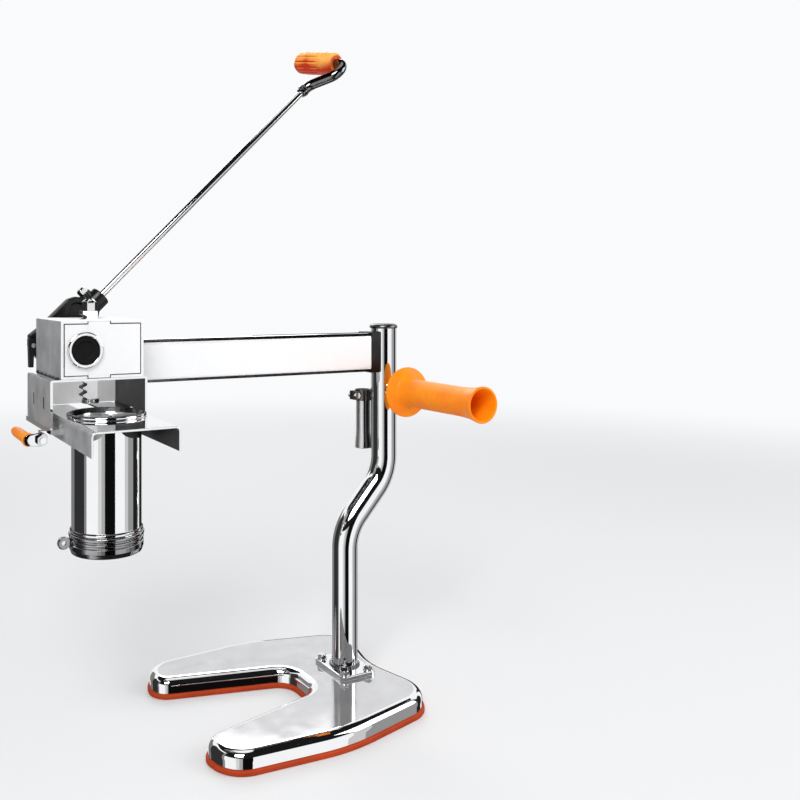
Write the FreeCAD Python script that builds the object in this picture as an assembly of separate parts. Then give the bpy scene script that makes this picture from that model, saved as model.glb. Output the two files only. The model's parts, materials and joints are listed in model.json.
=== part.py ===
import FreeCAD, Part
import math
import os

# Stand-mounted pasta press: a rack pushed by a crank lever drives a pusher down a steel barrel.
# Millimetres, +Z up. The origin is under the post's foot, on the plane the rubber pad stands on.
# +X runs from the press head towards the post, and -Y is the side with the big side grip.

V = FreeCAD.Vector
X_AXIS = V(1, 0, 0)
Y_AXIS = V(0, 1, 0)
Z_AXIS = V(0, 0, 1)

# ---- Driving dimensions -------------------------------------------------------------------
PAD_THICKNESS = 5.5
PAD_OUTSET = 2.5
BASE_THICKNESS = 17.5
BASE_TOP = PAD_THICKNESS + BASE_THICKNESS
BASE_EDGE_RADIUS = 10.0
BASE_WALL = 6.0
PAD_EDGE_RADIUS = 2.0
# Corners of one half of the horseshoe plan: x, y and corner radius.
BASE_WAIST = (40.0, 0.0, 90.0)
BASE_LOBE = (66.0, 97.0, 42.0)
BASE_SHOULDER = (-75.0, 131.0, 220.0)
BASE_TOE_OUTER = (-213.0, 122.0, 36.0)
BASE_TOE_INNER = (-223.0, 70.0, 22.0)
SLOT_HEEL = (-60.0, 31.0, 27.0)

FLANGE_X = 24.0
FLANGE_Y = 33.5
FLANGE_THICKNESS = 5.0
FLANGE_CORNER = 6.0
FLANGE_BOLT_X = 17.0
FLANGE_BOLT_Y = 25.5
BOLT_RADIUS = 3.0
BOLT_HOLE_RADIUS = 3.2
BOLT_FLATS = 10.0
BOLT_HEAD = 4.3
WASHER_RADIUS = 6.5
WASHER_THICKNESS = 1.2
NUT_HEIGHT = 5.0

POST_RADIUS = 16.0
POST_WALL = 2.0
POST_OFFSET = 58.0
POST_BEND_ANGLE = 42.0
POST_BEND_RADIUS = 60.0
POST_BEND_START = 170.0
POST_TOP = 439.0
CAP_RISE = 5.5
CAP_RADIUS = 17.4
CAP_EDGE_RADIUS = 4.0
CAP_DEPTH = 12.0

ARM_BOTTOM = 386.0
ARM_TOP = 434.0
ARM_HALF_WIDTH = 14.0
ARM_WALL = 2.0
ARM_CORNER = 7.0
SADDLE_LEFT = 30.0
SADDLE_SHOULDER = 42.3
SADDLE_RIGHT = 47.0
SADDLE_HALF_WIDTH = 14.2
SADDLE_NOSE_HALF_WIDTH = 8.0
SADDLE_STEP = 1.0

HOUSING_LEFT = -365.0
HOUSING_RIGHT = -279.0
HOUSING_HALF_DEPTH = 53.5
HOUSING_BOTTOM = 398.0
HOUSING_TOP = 456.5
HOUSING_WALL = 3.0
HOUSING_FOLD_RADIUS = 1.5
TAB_LEFT = -338.0
TAB_RIGHT = -314.0
RACK_WAY_LEFT = -331.5
RACK_WAY_RIGHT = -311.0
RACK_WAY_HALF_DEPTH = 9.5
BUSH_RADIUS = 16.0
BUSH_FLANGE_RADIUS = 18.5
BUSH_LENGTH = 16.0
BUSH_REAR_FLANGE = 2.5
BUSH_FRONT_FLANGE = 3.5
PLUG_RADIUS = 14.4
PLUG_DEPTH = 3.0

GEAR_MODULE = 2.5
GEAR_TEETH = 10
GEAR_ADDENDUM = 2.0
GEAR_DEDENDUM = 2.6
PRESSURE_ANGLE = math.radians(25.0)
BACKLASH = 0.25
GEAR_HALF_WIDTH = 7.0
GEAR_HUB_LENGTH = 8.0
PITCH_RADIUS = GEAR_MODULE * GEAR_TEETH / 2.0
TOOTH_PITCH = math.pi * GEAR_MODULE

SHAFT_X = -340.6
SHAFT_Z = 427.0
SHAFT_RADIUS = 6.0
RUNNING_GAP = 0.05
SHAFT_FRONT = -50.0
SHAFT_BACK = 92.0

RACK_PITCH_X = SHAFT_X + PITCH_RADIUS
RACK_BACK_X = -314.0
RACK_HALF_DEPTH = 8.0
RACK_BOTTOM = 372.0
RACK_TOP = 465.0
RACK_TEETH = 12
STOP_BOLT_X = -321.0
STOP_BOLT_FLATS = 14.0
STOP_BOLT_HEIGHT = 12.5
STOP_BOLT_RADIUS = 3.5
STOP_BOLT_SHANK = 17.0
FOOT_RADIUS = 9.5
FOOT_THICKNESS = 5.0
FOOT_SCREW_RADIUS = 3.0
FOOT_SCREW_SHANK = 15.0
FOOT_SCREW_HEAD_RADIUS = 5.5
FOOT_RECESS = 2.5
GUIDE_TOP = 445.0
GUIDE_LEFT = -325.5
GUIDE_HALF_DEPTH = 14.0
GUIDE_GAP = 0.08

WHEEL_RADIUS = 20.5
WHEEL_ROOT = 17.4
WHEEL_TEETH = 16
WHEEL_FRONT = 57.5
WHEEL_BACK = 66.5
PAWL_PIN_X = SHAFT_X - 26.0
PAWL_PIN_Z = SHAFT_Z - 1.0
PAWL_PIN_RADIUS = 2.5
PAWL_FRONT = 58.0
PAWL_THICKNESS = 8.0
HUB_FRONT = 68.0
HUB_BACK = 80.0
HUB_RADIUS = 25.5
HUB_EAR_RADIUS = 5.0
WASHER_FRONT = HUB_BACK + 0.3
WASHER_BACK = HUB_BACK + 2.1
LEVER_ANGLE = 44.4
LEVER_Y = (HUB_FRONT + HUB_BACK) / 2.0
WEB_OUTLINE = ((0.0, 24.9), (46.0, 24.5), (54.0, 20.5), (57.6, 15.5), (66.0, 12.5), (66.0, -8.0))
WEB_OUTLINE += ((57.0, -14.0), (0.0, -24.9))
POCKET_OUTLINE = ((32.0, 16.0), (45.0, 18.0), (53.0, 13.0), (50.0, -8.0), (36.0, -12.0))
POCKET_DEPTH = 4.0
CLAMP_BOLT_AT = 64.0
CLAMP_BOSS_RADIUS = 7.5
CLAMP_BOSS_HEIGHT = 16.0
SOCKET_START = 52.0
SOCKET_END = 77.5
SOCKET_RADIUS = 11.8
ROD_RADIUS = 4.0
ROD_START = 56.0
ROD_END = 456.0
ROD_TWIST = 17.0
NECK_RADIUS = 6.5
NECK_RUN = ((452.0, 0.0), (465.0, 0.0), (512.5, -62.3), (512.5, -12.0))
NECK_ARCS = (20.0, 16.0)
FERRULE_START = 451.0
FERRULE_LENGTH = 7.0
NECK_SOCKET = 6.0
SPINDLE_RADIUS = 4.0
SPINDLE_END = 58.0
GRIP_SCREW_RADIUS = 2.0
GRIP_SCREW_LENGTH = 12.0
GRIP_SCREW_HEAD_RADIUS = 5.5
CRANK_GRIP_START = -11.7
CRANK_GRIP_END = 62.0
CRANK_GRIP_RADIUS = 15.0

BRACKET_LEFT = -375.0
BRACKET_RIGHT = -274.5
BRACKET_FRONT = -52.0
BRACKET_BACK = 50.0
BRACKET_LEFT_BOTTOM = 351.0
BRACKET_CLEAR_BOTTOM = 361.3
BRACKET_REAR_LEG_Y = 2.0
BRACKET_WALL = 2.5
BRACKET_TOP_WALL = 2.0
SLOT_PLACES_Y = (-24.0, 20.0)
SLOT_Z = 373.0
SLOT_HALF_WIDTH = 1.75
SLOT_HALF_HEIGHT = 6.0
BAR_LEFT = -376.5
BAR_FRONT = -60.0
BAR_THICKNESS = 5.5
LIP_THICKNESS = 3.0
LIP_OVERLAP_RIGHT = 4.5
RUNNER_WIDTH = 3.0
RUNNER_FRONT = -50.0

BARREL_X = -320.0
BARREL_Y = -58.0
BARREL_RADIUS = 35.0
BARREL_BORE = 33.0
BARREL_BOTTOM = 232.5
RIM_RADIUS = 40.0
RIM_TOP = 365.0
TRAY_TOP = 361.0
TRAY_SHEET = 2.0
TRAY_LEFT = -363.0
TRAY_RIGHT = -277.6
TRAY_FRONT = -152.0
TRAY_REAR = 47.0
TRAY_FLANGE = 23.5
TRAY_BEND = 5.0
TRAY_RUNNING_GAP = 0.1
TRAY_WAY_CLEARANCE = 1.5

RING_TOP = 247.0
RING_BOTTOM = 227.0
RING_RADIUS = 37.0
RING_SEAT_RADIUS = BARREL_RADIUS - 0.3
RING_GAP = 0.1
RING_FLOOR = 2.5
RING_OPENING = 30.0
GROOVE_DEPTH = 1.2
LIP_RADIUS = RING_RADIUS - 1.3
LUG_RADIUS = 6.3
LUG_THICKNESS = 3.5
LUG_DROP = 8.0
LUG_HOLE_RADIUS = 2.4
DIE_RADIUS = 34.0
DIE_TOP = BARREL_BOTTOM - 0.4
DIE_HOLE_RADIUS = 2.5
PUSHER_RADIUS = 32.5
PUSHER_TOP = 358.0
PUSHER_THICKNESS = 8.0
PUSHER_BOTTOM = PUSHER_TOP - PUSHER_THICKNESS
SEAL_LOW = PUSHER_BOTTOM + 2.5
SEAL_HIGH = PUSHER_BOTTOM + 5.5
SEAL_ROOT_RADIUS = 30.5
PUSHER_SCREW_RADIUS = 4.0
PUSHER_SCREW_DEPTH = 5.0
PUSHER_SCREW_HEAD = 3.0

SIDE_GRIP_Z = 363.5
SIDE_GRIP_FLANGE_Y = -46.5
SIDE_GRIP_END_Y = -184.0
SIDE_GRIP_FLANGE_RADIUS = 30.0
SIDE_GRIP_RADIUS = 16.3
SIDE_GRIP_MOUTH_RADIUS = 20.5
STUD_RADIUS = 8.0
STUD_END_Y = -140.0
GRIP_CAVITY_DEPTH = 40.0

HOLDER_X = 44.1
HOLDER_Y = 24.9
HOLDER_RADIUS = 9.0
HOLDER_BORE = 7.5
HOLDER_BOTTOM = 286.0
HOLDER_TOP = 350.0
HOLDER_FLOOR = 4.0
HOLDER_DRAIN_RADIUS = 3.0
COLLAR_BOTTOM = 346.5
COLLAR_TOP = 360.5
COLLAR_RADIUS = 10.2
COLLAR_WEB_RIGHT = HOLDER_X + 12.0
COLLAR_WEB_FRONT = 6.0
EAR_LEFT = HOLDER_X - 16.8
EAR_HALF_WIDTH = 5.0
EAR_BOLT_X = HOLDER_X - 13.2
EAR_BOLT_Z = (COLLAR_BOTTOM + COLLAR_TOP) / 2.0
EAR_BOLT_RADIUS = 2.0

LOCK_X = -384.5
LOCK_Z = 341.6
LOCK_ARM = 11.5
LOCK_GRIP_RADIUS = 5.4
LOCK_STUD_RADIUS = 3.0
LUG_BACK_Y = -42.0
STUD_FRONT_Y = -63.0
LINK_FRONT_Y = -56.0
LINK_BACK_Y = -53.0
SPIGOT_RADIUS = 2.5
SPIGOT_LENGTH = 60.0


# ---- Plain solids -------------------------------------------------------------------------
def block(x0, x1, y0, y1, z0, z1):
    """A box between two corners."""
    return Part.makeBox(x1 - x0, y1 - y0, z1 - z0, V(x0, y0, z0))


def rod_z(x, y, z0, z1, radius):
    """A cylinder along Z."""
    return Part.makeCylinder(radius, z1 - z0, V(x, y, z0), Z_AXIS)


def rod_y(x, z, y0, y1, radius):
    """A cylinder along Y."""
    return Part.makeCylinder(radius, y1 - y0, V(x, y0, z), Y_AXIS)


def hex_prism(centre, axis, start, flats, height):
    """A six-sided prism on a centre line; start is a direction to one corner."""
    corner = flats / math.sqrt(3.0)
    turn = FreeCAD.Rotation(axis, 60.0)
    spoke = V(start)
    points = []
    for _ in range(6):
        points.append(centre + spoke * corner)
        spoke = turn.multVec(spoke)
    points.append(points[0])
    return Part.Face(Part.makePolygon(points)).extrude(axis * height)


def turned(profile, centre, axis, radial):
    """A solid of revolution. profile lists (radius, distance along the axis)."""
    points = [centre + radial * r + axis * d for r, d in profile]
    points.append(points[0])
    return Part.Face(Part.makePolygon(points)).revolve(centre, axis, 360.0)


def corner_arc(before, corner, after, radius):
    """The two tangent points and the middle of the arc that rounds one corner."""
    to_before = (before - corner).normalize()
    to_after = (after - corner).normalize()
    half = to_before.getAngle(to_after) / 2.0
    reach = radius / math.tan(half)
    bisector = (to_before + to_after).normalize()
    middle = corner + bisector * (radius / math.sin(half) - radius)
    return corner + to_before * reach, middle, corner + to_after * reach


def rounded_loop(corners, z):
    """A closed wire in a level plane, through corners given as (x, y, radius)."""
    points = [V(x, y, z) for x, y, _ in corners]
    count = len(points)
    arcs = []
    for i in range(count):
        arcs.append(corner_arc(points[i - 1], points[i], points[(i + 1) % count], corners[i][2]))
    edges = []
    for i in range(count):
        first, middle, last = arcs[i]
        edges.append(Part.Arc(first, middle, last).toShape())
        edges.append(Part.LineSegment(last, arcs[(i + 1) % count][0]).toShape())
    return Part.Wire(edges)


def rounded_run(points, radii):
    """An open wire of straight runs joined by tangent arcs, one radius for each inner point."""
    edges = []
    start = points[0]
    for i, radius in enumerate(radii):
        first, middle, last = corner_arc(points[i], points[i + 1], points[i + 2], radius)
        edges.append(Part.LineSegment(start, first).toShape())
        edges.append(Part.Arc(first, middle, last).toShape())
        start = last
    edges.append(Part.LineSegment(start, points[-1]).toShape())
    return Part.Wire(edges)


def swept_rod(path, radius):
    """A round bar along a wire."""
    start = path.OrderedVertexes[0].Point
    first = path.OrderedEdges[0]
    heading = (first.valueAt(first.LastParameter) - first.valueAt(first.FirstParameter)).normalize()
    section = Part.Wire([Part.makeCircle(radius, start, heading)])
    return path.makePipeShell([section], True, False)


def merged(shapes):
    """Several touching solids as one."""
    whole = shapes[0]
    for shape in shapes[1:]:
        whole = whole.fuse(shape)
    return whole.removeSplitter()


def without(shape, *tools):
    """A shape with other shapes cut out of it."""
    for tool in tools:
        shape = shape.cut(tool)
    return shape


def rounded(shape, radius, chosen):
    """A shape with the chosen edges filleted."""
    return shape.makeFillet(radius, [edge for edge in shape.Edges if chosen(edge)])


def runs_along(edge, axis):
    """True for a straight edge that is parallel to an axis."""
    if edge.Curve.TypeId != "Part::GeomLine":
        return False
    span = edge.Vertexes[1].Point - edge.Vertexes[0].Point
    return abs(abs(span.normalize().dot(axis)) - 1.0) < 1e-6


def lies_at(edge, z):
    """True for an edge whose whole length is at one height."""
    return abs(edge.BoundBox.ZMin - z) < 1e-6 and abs(edge.BoundBox.ZMax - z) < 1e-6


# ---- Base and post ------------------------------------------------------------------------
def base_outline(z):
    """The horseshoe plan: two prongs towards the head and a waist behind the post."""
    half = [BASE_LOBE, BASE_SHOULDER, BASE_TOE_OUTER, BASE_TOE_INNER, SLOT_HEEL]
    mirrored = [(x, -y, radius) for x, y, radius in reversed(half)]
    return rounded_loop([BASE_WAIST] + half + mirrored, z)


def base_plate():
    """A pan with a rounded upper edge, hollow underneath, with four bolt holes."""
    body = Part.Face(base_outline(PAD_THICKNESS)).extrude(V(0, 0, BASE_THICKNESS))
    body = rounded(body, BASE_EDGE_RADIUS, lambda edge: lies_at(edge, BASE_TOP))
    hollow = Part.Face(base_outline(PAD_THICKNESS).makeOffset2D(-BASE_WALL))
    body = body.cut(hollow.extrude(V(0, 0, BASE_THICKNESS - BASE_WALL)))
    holes = [rod_z(x, y, PAD_THICKNESS, BASE_TOP + 1.0, BOLT_HOLE_RADIUS) for x, y in flange_bolt_places()]
    return without(body, *holes)


def base_pad():
    """The rubber sole, a little wider than the plate all round."""
    outline = base_outline(0.0).makeOffset2D(PAD_OUTSET)
    pad = Part.Face(outline).extrude(V(0, 0, PAD_THICKNESS))
    return rounded(pad, PAD_EDGE_RADIUS, lambda edge: lies_at(edge, PAD_THICKNESS))


def flange_bolt_places():
    """The four bolts round the post's foot."""
    return [(sx * FLANGE_BOLT_X, sy * FLANGE_BOLT_Y) for sx in (-1, 1) for sy in (-1, 1)]


def post_flange():
    """The foot plate that spreads the post's load on the base."""
    signs = ((-1, -1), (1, -1), (1, 1), (-1, 1))
    corners = [(sx * FLANGE_X, sy * FLANGE_Y, FLANGE_CORNER) for sx, sy in signs]
    plate = Part.Face(rounded_loop(corners, BASE_TOP)).extrude(V(0, 0, FLANGE_THICKNESS))
    above = BASE_TOP + FLANGE_THICKNESS + 1.0
    holes = [rod_z(x, y, BASE_TOP, above, BOLT_HOLE_RADIUS) for x, y in flange_bolt_places()]
    return without(plate, *holes)


def flange_bolts():
    """Four hexagon bolts down through the foot plate and the base."""
    bolts = []
    seat = BASE_TOP + FLANGE_THICKNESS
    head_seat = seat + WASHER_THICKNESS
    for x, y in flange_bolt_places():
        shank = rod_z(x, y, PAD_THICKNESS + 1.0, seat, BOLT_RADIUS)
        washer = rod_z(x, y, seat, head_seat, WASHER_RADIUS)
        head = hex_prism(V(x, y, head_seat), Z_AXIS, X_AXIS, BOLT_FLATS, BOLT_HEAD)
        bolts.append(merged([shank, washer, head]))
    return Part.makeCompound(bolts)


def flange_nuts():
    """The nuts of those bolts, inside the hollow of the base."""
    nuts = []
    top = BASE_TOP - BASE_WALL
    low = top - NUT_HEIGHT
    for x, y in flange_bolt_places():
        nut = hex_prism(V(x, y, low), Z_AXIS, X_AXIS, BOLT_FLATS, NUT_HEIGHT)
        nuts.append(nut.cut(rod_z(x, y, low - 1.0, top + 1.0, BOLT_RADIUS)))
    return Part.makeCompound(nuts)


def post_path():
    """The post's centre line: upright, a double bend towards +X, upright again."""
    foot = BASE_TOP + FLANGE_THICKNESS
    bend = math.radians(POST_BEND_ANGLE)
    rise = POST_OFFSET / math.tan(bend)
    lead = POST_BEND_RADIUS * math.tan(bend / 2.0)
    lower = V(0, 0, POST_BEND_START + lead)
    upper = V(POST_OFFSET, 0, lower.z + rise)
    points = [V(0, 0, foot), lower, upper, V(POST_OFFSET, 0, POST_TOP)]
    return rounded_run(points, (POST_BEND_RADIUS, POST_BEND_RADIUS))


def post_tube():
    """The bent round tube."""
    path = post_path()
    return swept_rod(path, POST_RADIUS).cut(swept_rod(path, POST_RADIUS - POST_WALL))


def post_cap():
    """The domed plug that closes the top of the post."""
    dome = rod_z(POST_OFFSET, 0, POST_TOP, POST_TOP + CAP_RISE, CAP_RADIUS)
    dome = rounded(dome, CAP_EDGE_RADIUS, lambda edge: lies_at(edge, POST_TOP + CAP_RISE))
    plug = rod_z(POST_OFFSET, 0, POST_TOP - CAP_DEPTH, POST_TOP, POST_RADIUS - POST_WALL)
    return merged([dome, plug])


# ---- Arm ----------------------------------------------------------------------------------
def arm_tube():
    """The rounded rectangular arm, notched where the tray bracket stands out past the housing."""
    outer = block(HOUSING_RIGHT, SADDLE_LEFT, -ARM_HALF_WIDTH, ARM_HALF_WIDTH, ARM_BOTTOM, ARM_TOP)
    outer = rounded(outer, ARM_CORNER, lambda edge: runs_along(edge, X_AXIS))
    inner = block(
        HOUSING_RIGHT - 1.0,
        SADDLE_LEFT + 1.0,
        -ARM_HALF_WIDTH + ARM_WALL,
        ARM_HALF_WIDTH - ARM_WALL,
        ARM_BOTTOM + ARM_WALL,
        ARM_TOP - ARM_WALL,
    )
    inner = rounded(inner, ARM_CORNER - ARM_WALL, lambda edge: runs_along(edge, X_AXIS))
    half = ARM_HALF_WIDTH + 1.0
    notch = block(HOUSING_RIGHT - 1.0, BRACKET_RIGHT, -half, half, ARM_BOTTOM - 1.0, HOUSING_BOTTOM)
    return without(outer, inner, notch)


def arm_saddle():
    """The end block of the arm, hollowed to sit against the post."""
    low = ARM_BOTTOM - SADDLE_STEP
    high = ARM_TOP + SADDLE_STEP
    half = SADDLE_HALF_WIDTH
    nose = SADDLE_NOSE_HALF_WIDTH
    plan = [(SADDLE_LEFT, -half), (SADDLE_SHOULDER, -half), (SADDLE_RIGHT, -nose)]
    plan += [(SADDLE_RIGHT, nose), (SADDLE_SHOULDER, half), (SADDLE_LEFT, half), (SADDLE_LEFT, -half)]
    outline = Part.makePolygon([V(x, y, low) for x, y in plan])
    body = Part.Face(outline).extrude(V(0, 0, high - low))
    body = rounded(body, SADDLE_STEP, lambda edge: lies_at(edge, high) or lies_at(edge, low))
    return body.cut(rod_z(POST_OFFSET, 0, low - 1.0, high + 1.0, POST_RADIUS))


# ---- Housing of the rack drive ------------------------------------------------------------
def housing_shell():
    """The folded sleeve of the housing, open at both ends, with the rack's way through it."""
    outer = block(
        HOUSING_LEFT,
        HOUSING_RIGHT,
        -HOUSING_HALF_DEPTH,
        HOUSING_HALF_DEPTH,
        HOUSING_BOTTOM,
        HOUSING_TOP,
    )
    outer = rounded(outer, HOUSING_FOLD_RADIUS, lambda edge: runs_along(edge, Y_AXIS))
    inner = block(
        HOUSING_LEFT + HOUSING_WALL,
        HOUSING_RIGHT - HOUSING_WALL,
        -HOUSING_HALF_DEPTH - 1.0,
        HOUSING_HALF_DEPTH + 1.0,
        HOUSING_BOTTOM + HOUSING_WALL,
        HOUSING_TOP - HOUSING_WALL,
    )
    return without(outer, inner, rack_way(HOUSING_BOTTOM - 1.0, HOUSING_TOP + 1.0), *end_tabs())


def rack_way(z0, z1):
    """The clear way that the rack needs through the sheets above and below the drive."""
    half = RACK_WAY_HALF_DEPTH
    return block(RACK_WAY_LEFT, RACK_WAY_RIGHT, -half, half, z0, z1)


def end_tabs():
    """The four tab blocks by which the two end plates lock into the sleeve."""
    tabs = []
    inner_face = HOUSING_HALF_DEPTH - HOUSING_WALL
    for side in (-1, 1):
        y0, y1 = sorted((side * HOUSING_HALF_DEPTH, side * inner_face))
        for z0, z1 in (
            (HOUSING_TOP - HOUSING_WALL, HOUSING_TOP),
            (HOUSING_BOTTOM, HOUSING_BOTTOM + HOUSING_WALL),
        ):
            tabs.append(block(TAB_LEFT, TAB_RIGHT, y0, y1, z0, z1))
    return tabs


def end_plate(side):
    """An end plate of the housing with its tabs and its bearing hole; side is -1 front, 1 back."""
    inner_face = HOUSING_HALF_DEPTH - HOUSING_WALL
    y0, y1 = sorted((side * HOUSING_HALF_DEPTH, side * inner_face))
    plate = block(
        HOUSING_LEFT + HOUSING_WALL,
        HOUSING_RIGHT - HOUSING_WALL,
        y0,
        y1,
        HOUSING_BOTTOM + HOUSING_WALL,
        HOUSING_TOP - HOUSING_WALL,
    )
    own_tabs = [tab for tab in end_tabs() if tab.BoundBox.Center.y * side > 0]
    plate = merged([plate] + own_tabs)
    return plate.cut(rod_y(SHAFT_X, SHAFT_Z, y0 - 1.0, y1 + 1.0, BUSH_RADIUS))


def front_bearing():
    """The flanged front bush; its face is counterbored for the black plug."""
    face = -HOUSING_HALF_DEPTH
    profile = [
        (SHAFT_RADIUS + RUNNING_GAP, face + BUSH_LENGTH),
        (SHAFT_RADIUS + RUNNING_GAP, face + PLUG_DEPTH),
        (PLUG_RADIUS, face + PLUG_DEPTH),
        (PLUG_RADIUS, face - BUSH_FRONT_FLANGE),
        (BUSH_FLANGE_RADIUS - 0.9, face - BUSH_FRONT_FLANGE),
        (BUSH_FLANGE_RADIUS, face - BUSH_FRONT_FLANGE + 0.9),
        (BUSH_FLANGE_RADIUS, face),
        (BUSH_RADIUS, face),
        (BUSH_RADIUS, face + BUSH_LENGTH),
    ]
    return turned(profile, V(SHAFT_X, 0, SHAFT_Z), Y_AXIS, X_AXIS)


def front_plug():
    """The black disc that closes the front bush."""
    face = -HOUSING_HALF_DEPTH
    plug = rod_y(SHAFT_X, SHAFT_Z, face - 1.8, face + PLUG_DEPTH, PLUG_RADIUS)
    dish = rod_y(SHAFT_X, SHAFT_Z, face - 2.8, face - 0.8, 9.0)
    return plug.cut(dish)


def rear_bearing():
    """The flanged rear bush that carries the lever's end of the shaft."""
    face = HOUSING_HALF_DEPTH
    profile = [
        (SHAFT_RADIUS + RUNNING_GAP, face - BUSH_LENGTH),
        (BUSH_RADIUS, face - BUSH_LENGTH),
        (BUSH_RADIUS, face),
        (BUSH_FLANGE_RADIUS, face),
        (BUSH_FLANGE_RADIUS, face + BUSH_REAR_FLANGE),
        (SHAFT_RADIUS + RUNNING_GAP, face + BUSH_REAR_FLANGE),
    ]
    return turned(profile, V(SHAFT_X, 0, SHAFT_Z), Y_AXIS, X_AXIS)


def rack_guide():
    """The channel behind the rack that keeps it in mesh, open towards the pinion."""
    floor = HOUSING_BOTTOM + HOUSING_WALL
    right = HOUSING_RIGHT - HOUSING_WALL
    body = block(GUIDE_LEFT, right, -GUIDE_HALF_DEPTH, GUIDE_HALF_DEPTH, floor, GUIDE_TOP)
    half = RACK_HALF_DEPTH + GUIDE_GAP
    way = block(GUIDE_LEFT - 1.0, RACK_BACK_X + GUIDE_GAP, -half, half, floor - 1.0, GUIDE_TOP + 1.0)
    return body.cut(way)


# ---- Pinion shaft -------------------------------------------------------------------------
def pinion_shaft():
    """The round shaft with chamfered ends."""
    shaft = rod_y(SHAFT_X, SHAFT_Z, SHAFT_FRONT, SHAFT_BACK, SHAFT_RADIUS)
    ends = [edge for edge in shaft.Edges if edge.Closed]
    return shaft.makeChamfer(0.8, ends)


def involute_point(base_radius, roll, start_angle, mirror):
    """A point of the involute unrolled from a base circle, in the XZ plane about the origin."""
    radius = base_radius * math.sqrt(1.0 + roll * roll)
    angle = start_angle + mirror * (roll - math.atan(roll))
    return V(radius * math.cos(angle), 0, radius * math.sin(angle))


def pinion_gear():
    """The spur pinion: ten involute teeth, one of them centred on +X, and a short hub behind them."""
    base_radius = PITCH_RADIUS * math.cos(PRESSURE_ANGLE)
    tip_radius = PITCH_RADIUS + GEAR_ADDENDUM
    root_radius = PITCH_RADIUS - GEAR_DEDENDUM
    tip_roll = math.sqrt((tip_radius / base_radius) ** 2 - 1.0)
    thickness = TOOTH_PITCH / 2.0 - BACKLASH
    spread = math.tan(PRESSURE_ANGLE) - PRESSURE_ANGLE
    half_angle = thickness / (2.0 * PITCH_RADIUS) + spread
    blank = rod_y(0, 0, -GEAR_HALF_WIDTH, GEAR_HALF_WIDTH, root_radius)
    teeth = []
    for i in range(GEAR_TEETH):
        middle = 2.0 * math.pi * i / GEAR_TEETH
        low_start = middle - half_angle
        high_start = middle + half_angle
        low = [involute_point(base_radius, tip_roll * k / 4.0, low_start, 1.0) for k in range(5)]
        high = [involute_point(base_radius, tip_roll * k / 4.0, high_start, -1.0) for k in range(5)]
        inner = root_radius - 1.0
        low_foot = V(inner * math.cos(low_start), 0, inner * math.sin(low_start))
        high_foot = V(inner * math.cos(high_start), 0, inner * math.sin(high_start))
        crest = V(tip_radius * math.cos(middle), 0, tip_radius * math.sin(middle))
        low_flank = Part.BSplineCurve()
        low_flank.interpolate(low)
        high_flank = Part.BSplineCurve()
        high_flank.interpolate(list(reversed(high)))
        edges = [
            Part.LineSegment(low_foot, low[0]).toShape(),
            low_flank.toShape(),
            Part.Arc(low[-1], crest, high[-1]).toShape(),
            high_flank.toShape(),
            Part.LineSegment(high[0], high_foot).toShape(),
            Part.LineSegment(high_foot, low_foot).toShape(),
        ]
        tooth = Part.Face(Part.Wire(edges)).extrude(V(0, 2.0 * GEAR_HALF_WIDTH, 0))
        tooth.translate(V(0, -GEAR_HALF_WIDTH, 0))
        teeth.append(tooth)
    hub_end = GEAR_HALF_WIDTH + GEAR_HUB_LENGTH
    hub = rod_y(0, 0, GEAR_HALF_WIDTH, hub_end, root_radius)
    bore = rod_y(0, 0, -GEAR_HALF_WIDTH - 1.0, hub_end + 1.0, SHAFT_RADIUS)
    gear = merged([blank] + teeth + [hub]).cut(bore)
    gear.translate(V(SHAFT_X, 0, SHAFT_Z))
    return gear


def ratchet_wheel():
    """The saw-toothed wheel at the back of the shaft that the lever's pawl pushes."""
    points = []
    for i in range(WHEEL_TEETH):
        tip = 2.0 * math.pi * i / WHEEL_TEETH
        points.append(V(WHEEL_RADIUS * math.cos(tip), 0, WHEEL_RADIUS * math.sin(tip)))
        points.append(V(WHEEL_ROOT * math.cos(tip), 0, WHEEL_ROOT * math.sin(tip)))
    points.append(points[0])
    wheel = Part.Face(Part.makePolygon(points)).extrude(V(0, WHEEL_BACK - WHEEL_FRONT, 0))
    wheel.translate(V(SHAFT_X, WHEEL_FRONT, SHAFT_Z))
    return wheel.cut(rod_y(SHAFT_X, SHAFT_Z, WHEEL_FRONT - 1.0, WHEEL_BACK + 1.0, SHAFT_RADIUS))


def lever_washer():
    """The washer between the lever's hub and the nut."""
    ring = rod_y(SHAFT_X, SHAFT_Z, WASHER_FRONT, WASHER_BACK, 11.0)
    return ring.cut(rod_y(SHAFT_X, SHAFT_Z, WASHER_FRONT - 1.0, WASHER_BACK + 1.0, SHAFT_RADIUS))


def lever_nut():
    """The nut that keeps the lever on the shaft."""
    nut = hex_prism(V(SHAFT_X, WASHER_BACK, SHAFT_Z), Y_AXIS, X_AXIS, 18.0, 8.0)
    return nut.cut(rod_y(SHAFT_X, SHAFT_Z, WASHER_BACK - 1.0, WASHER_BACK + 9.0, SHAFT_RADIUS))


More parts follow.
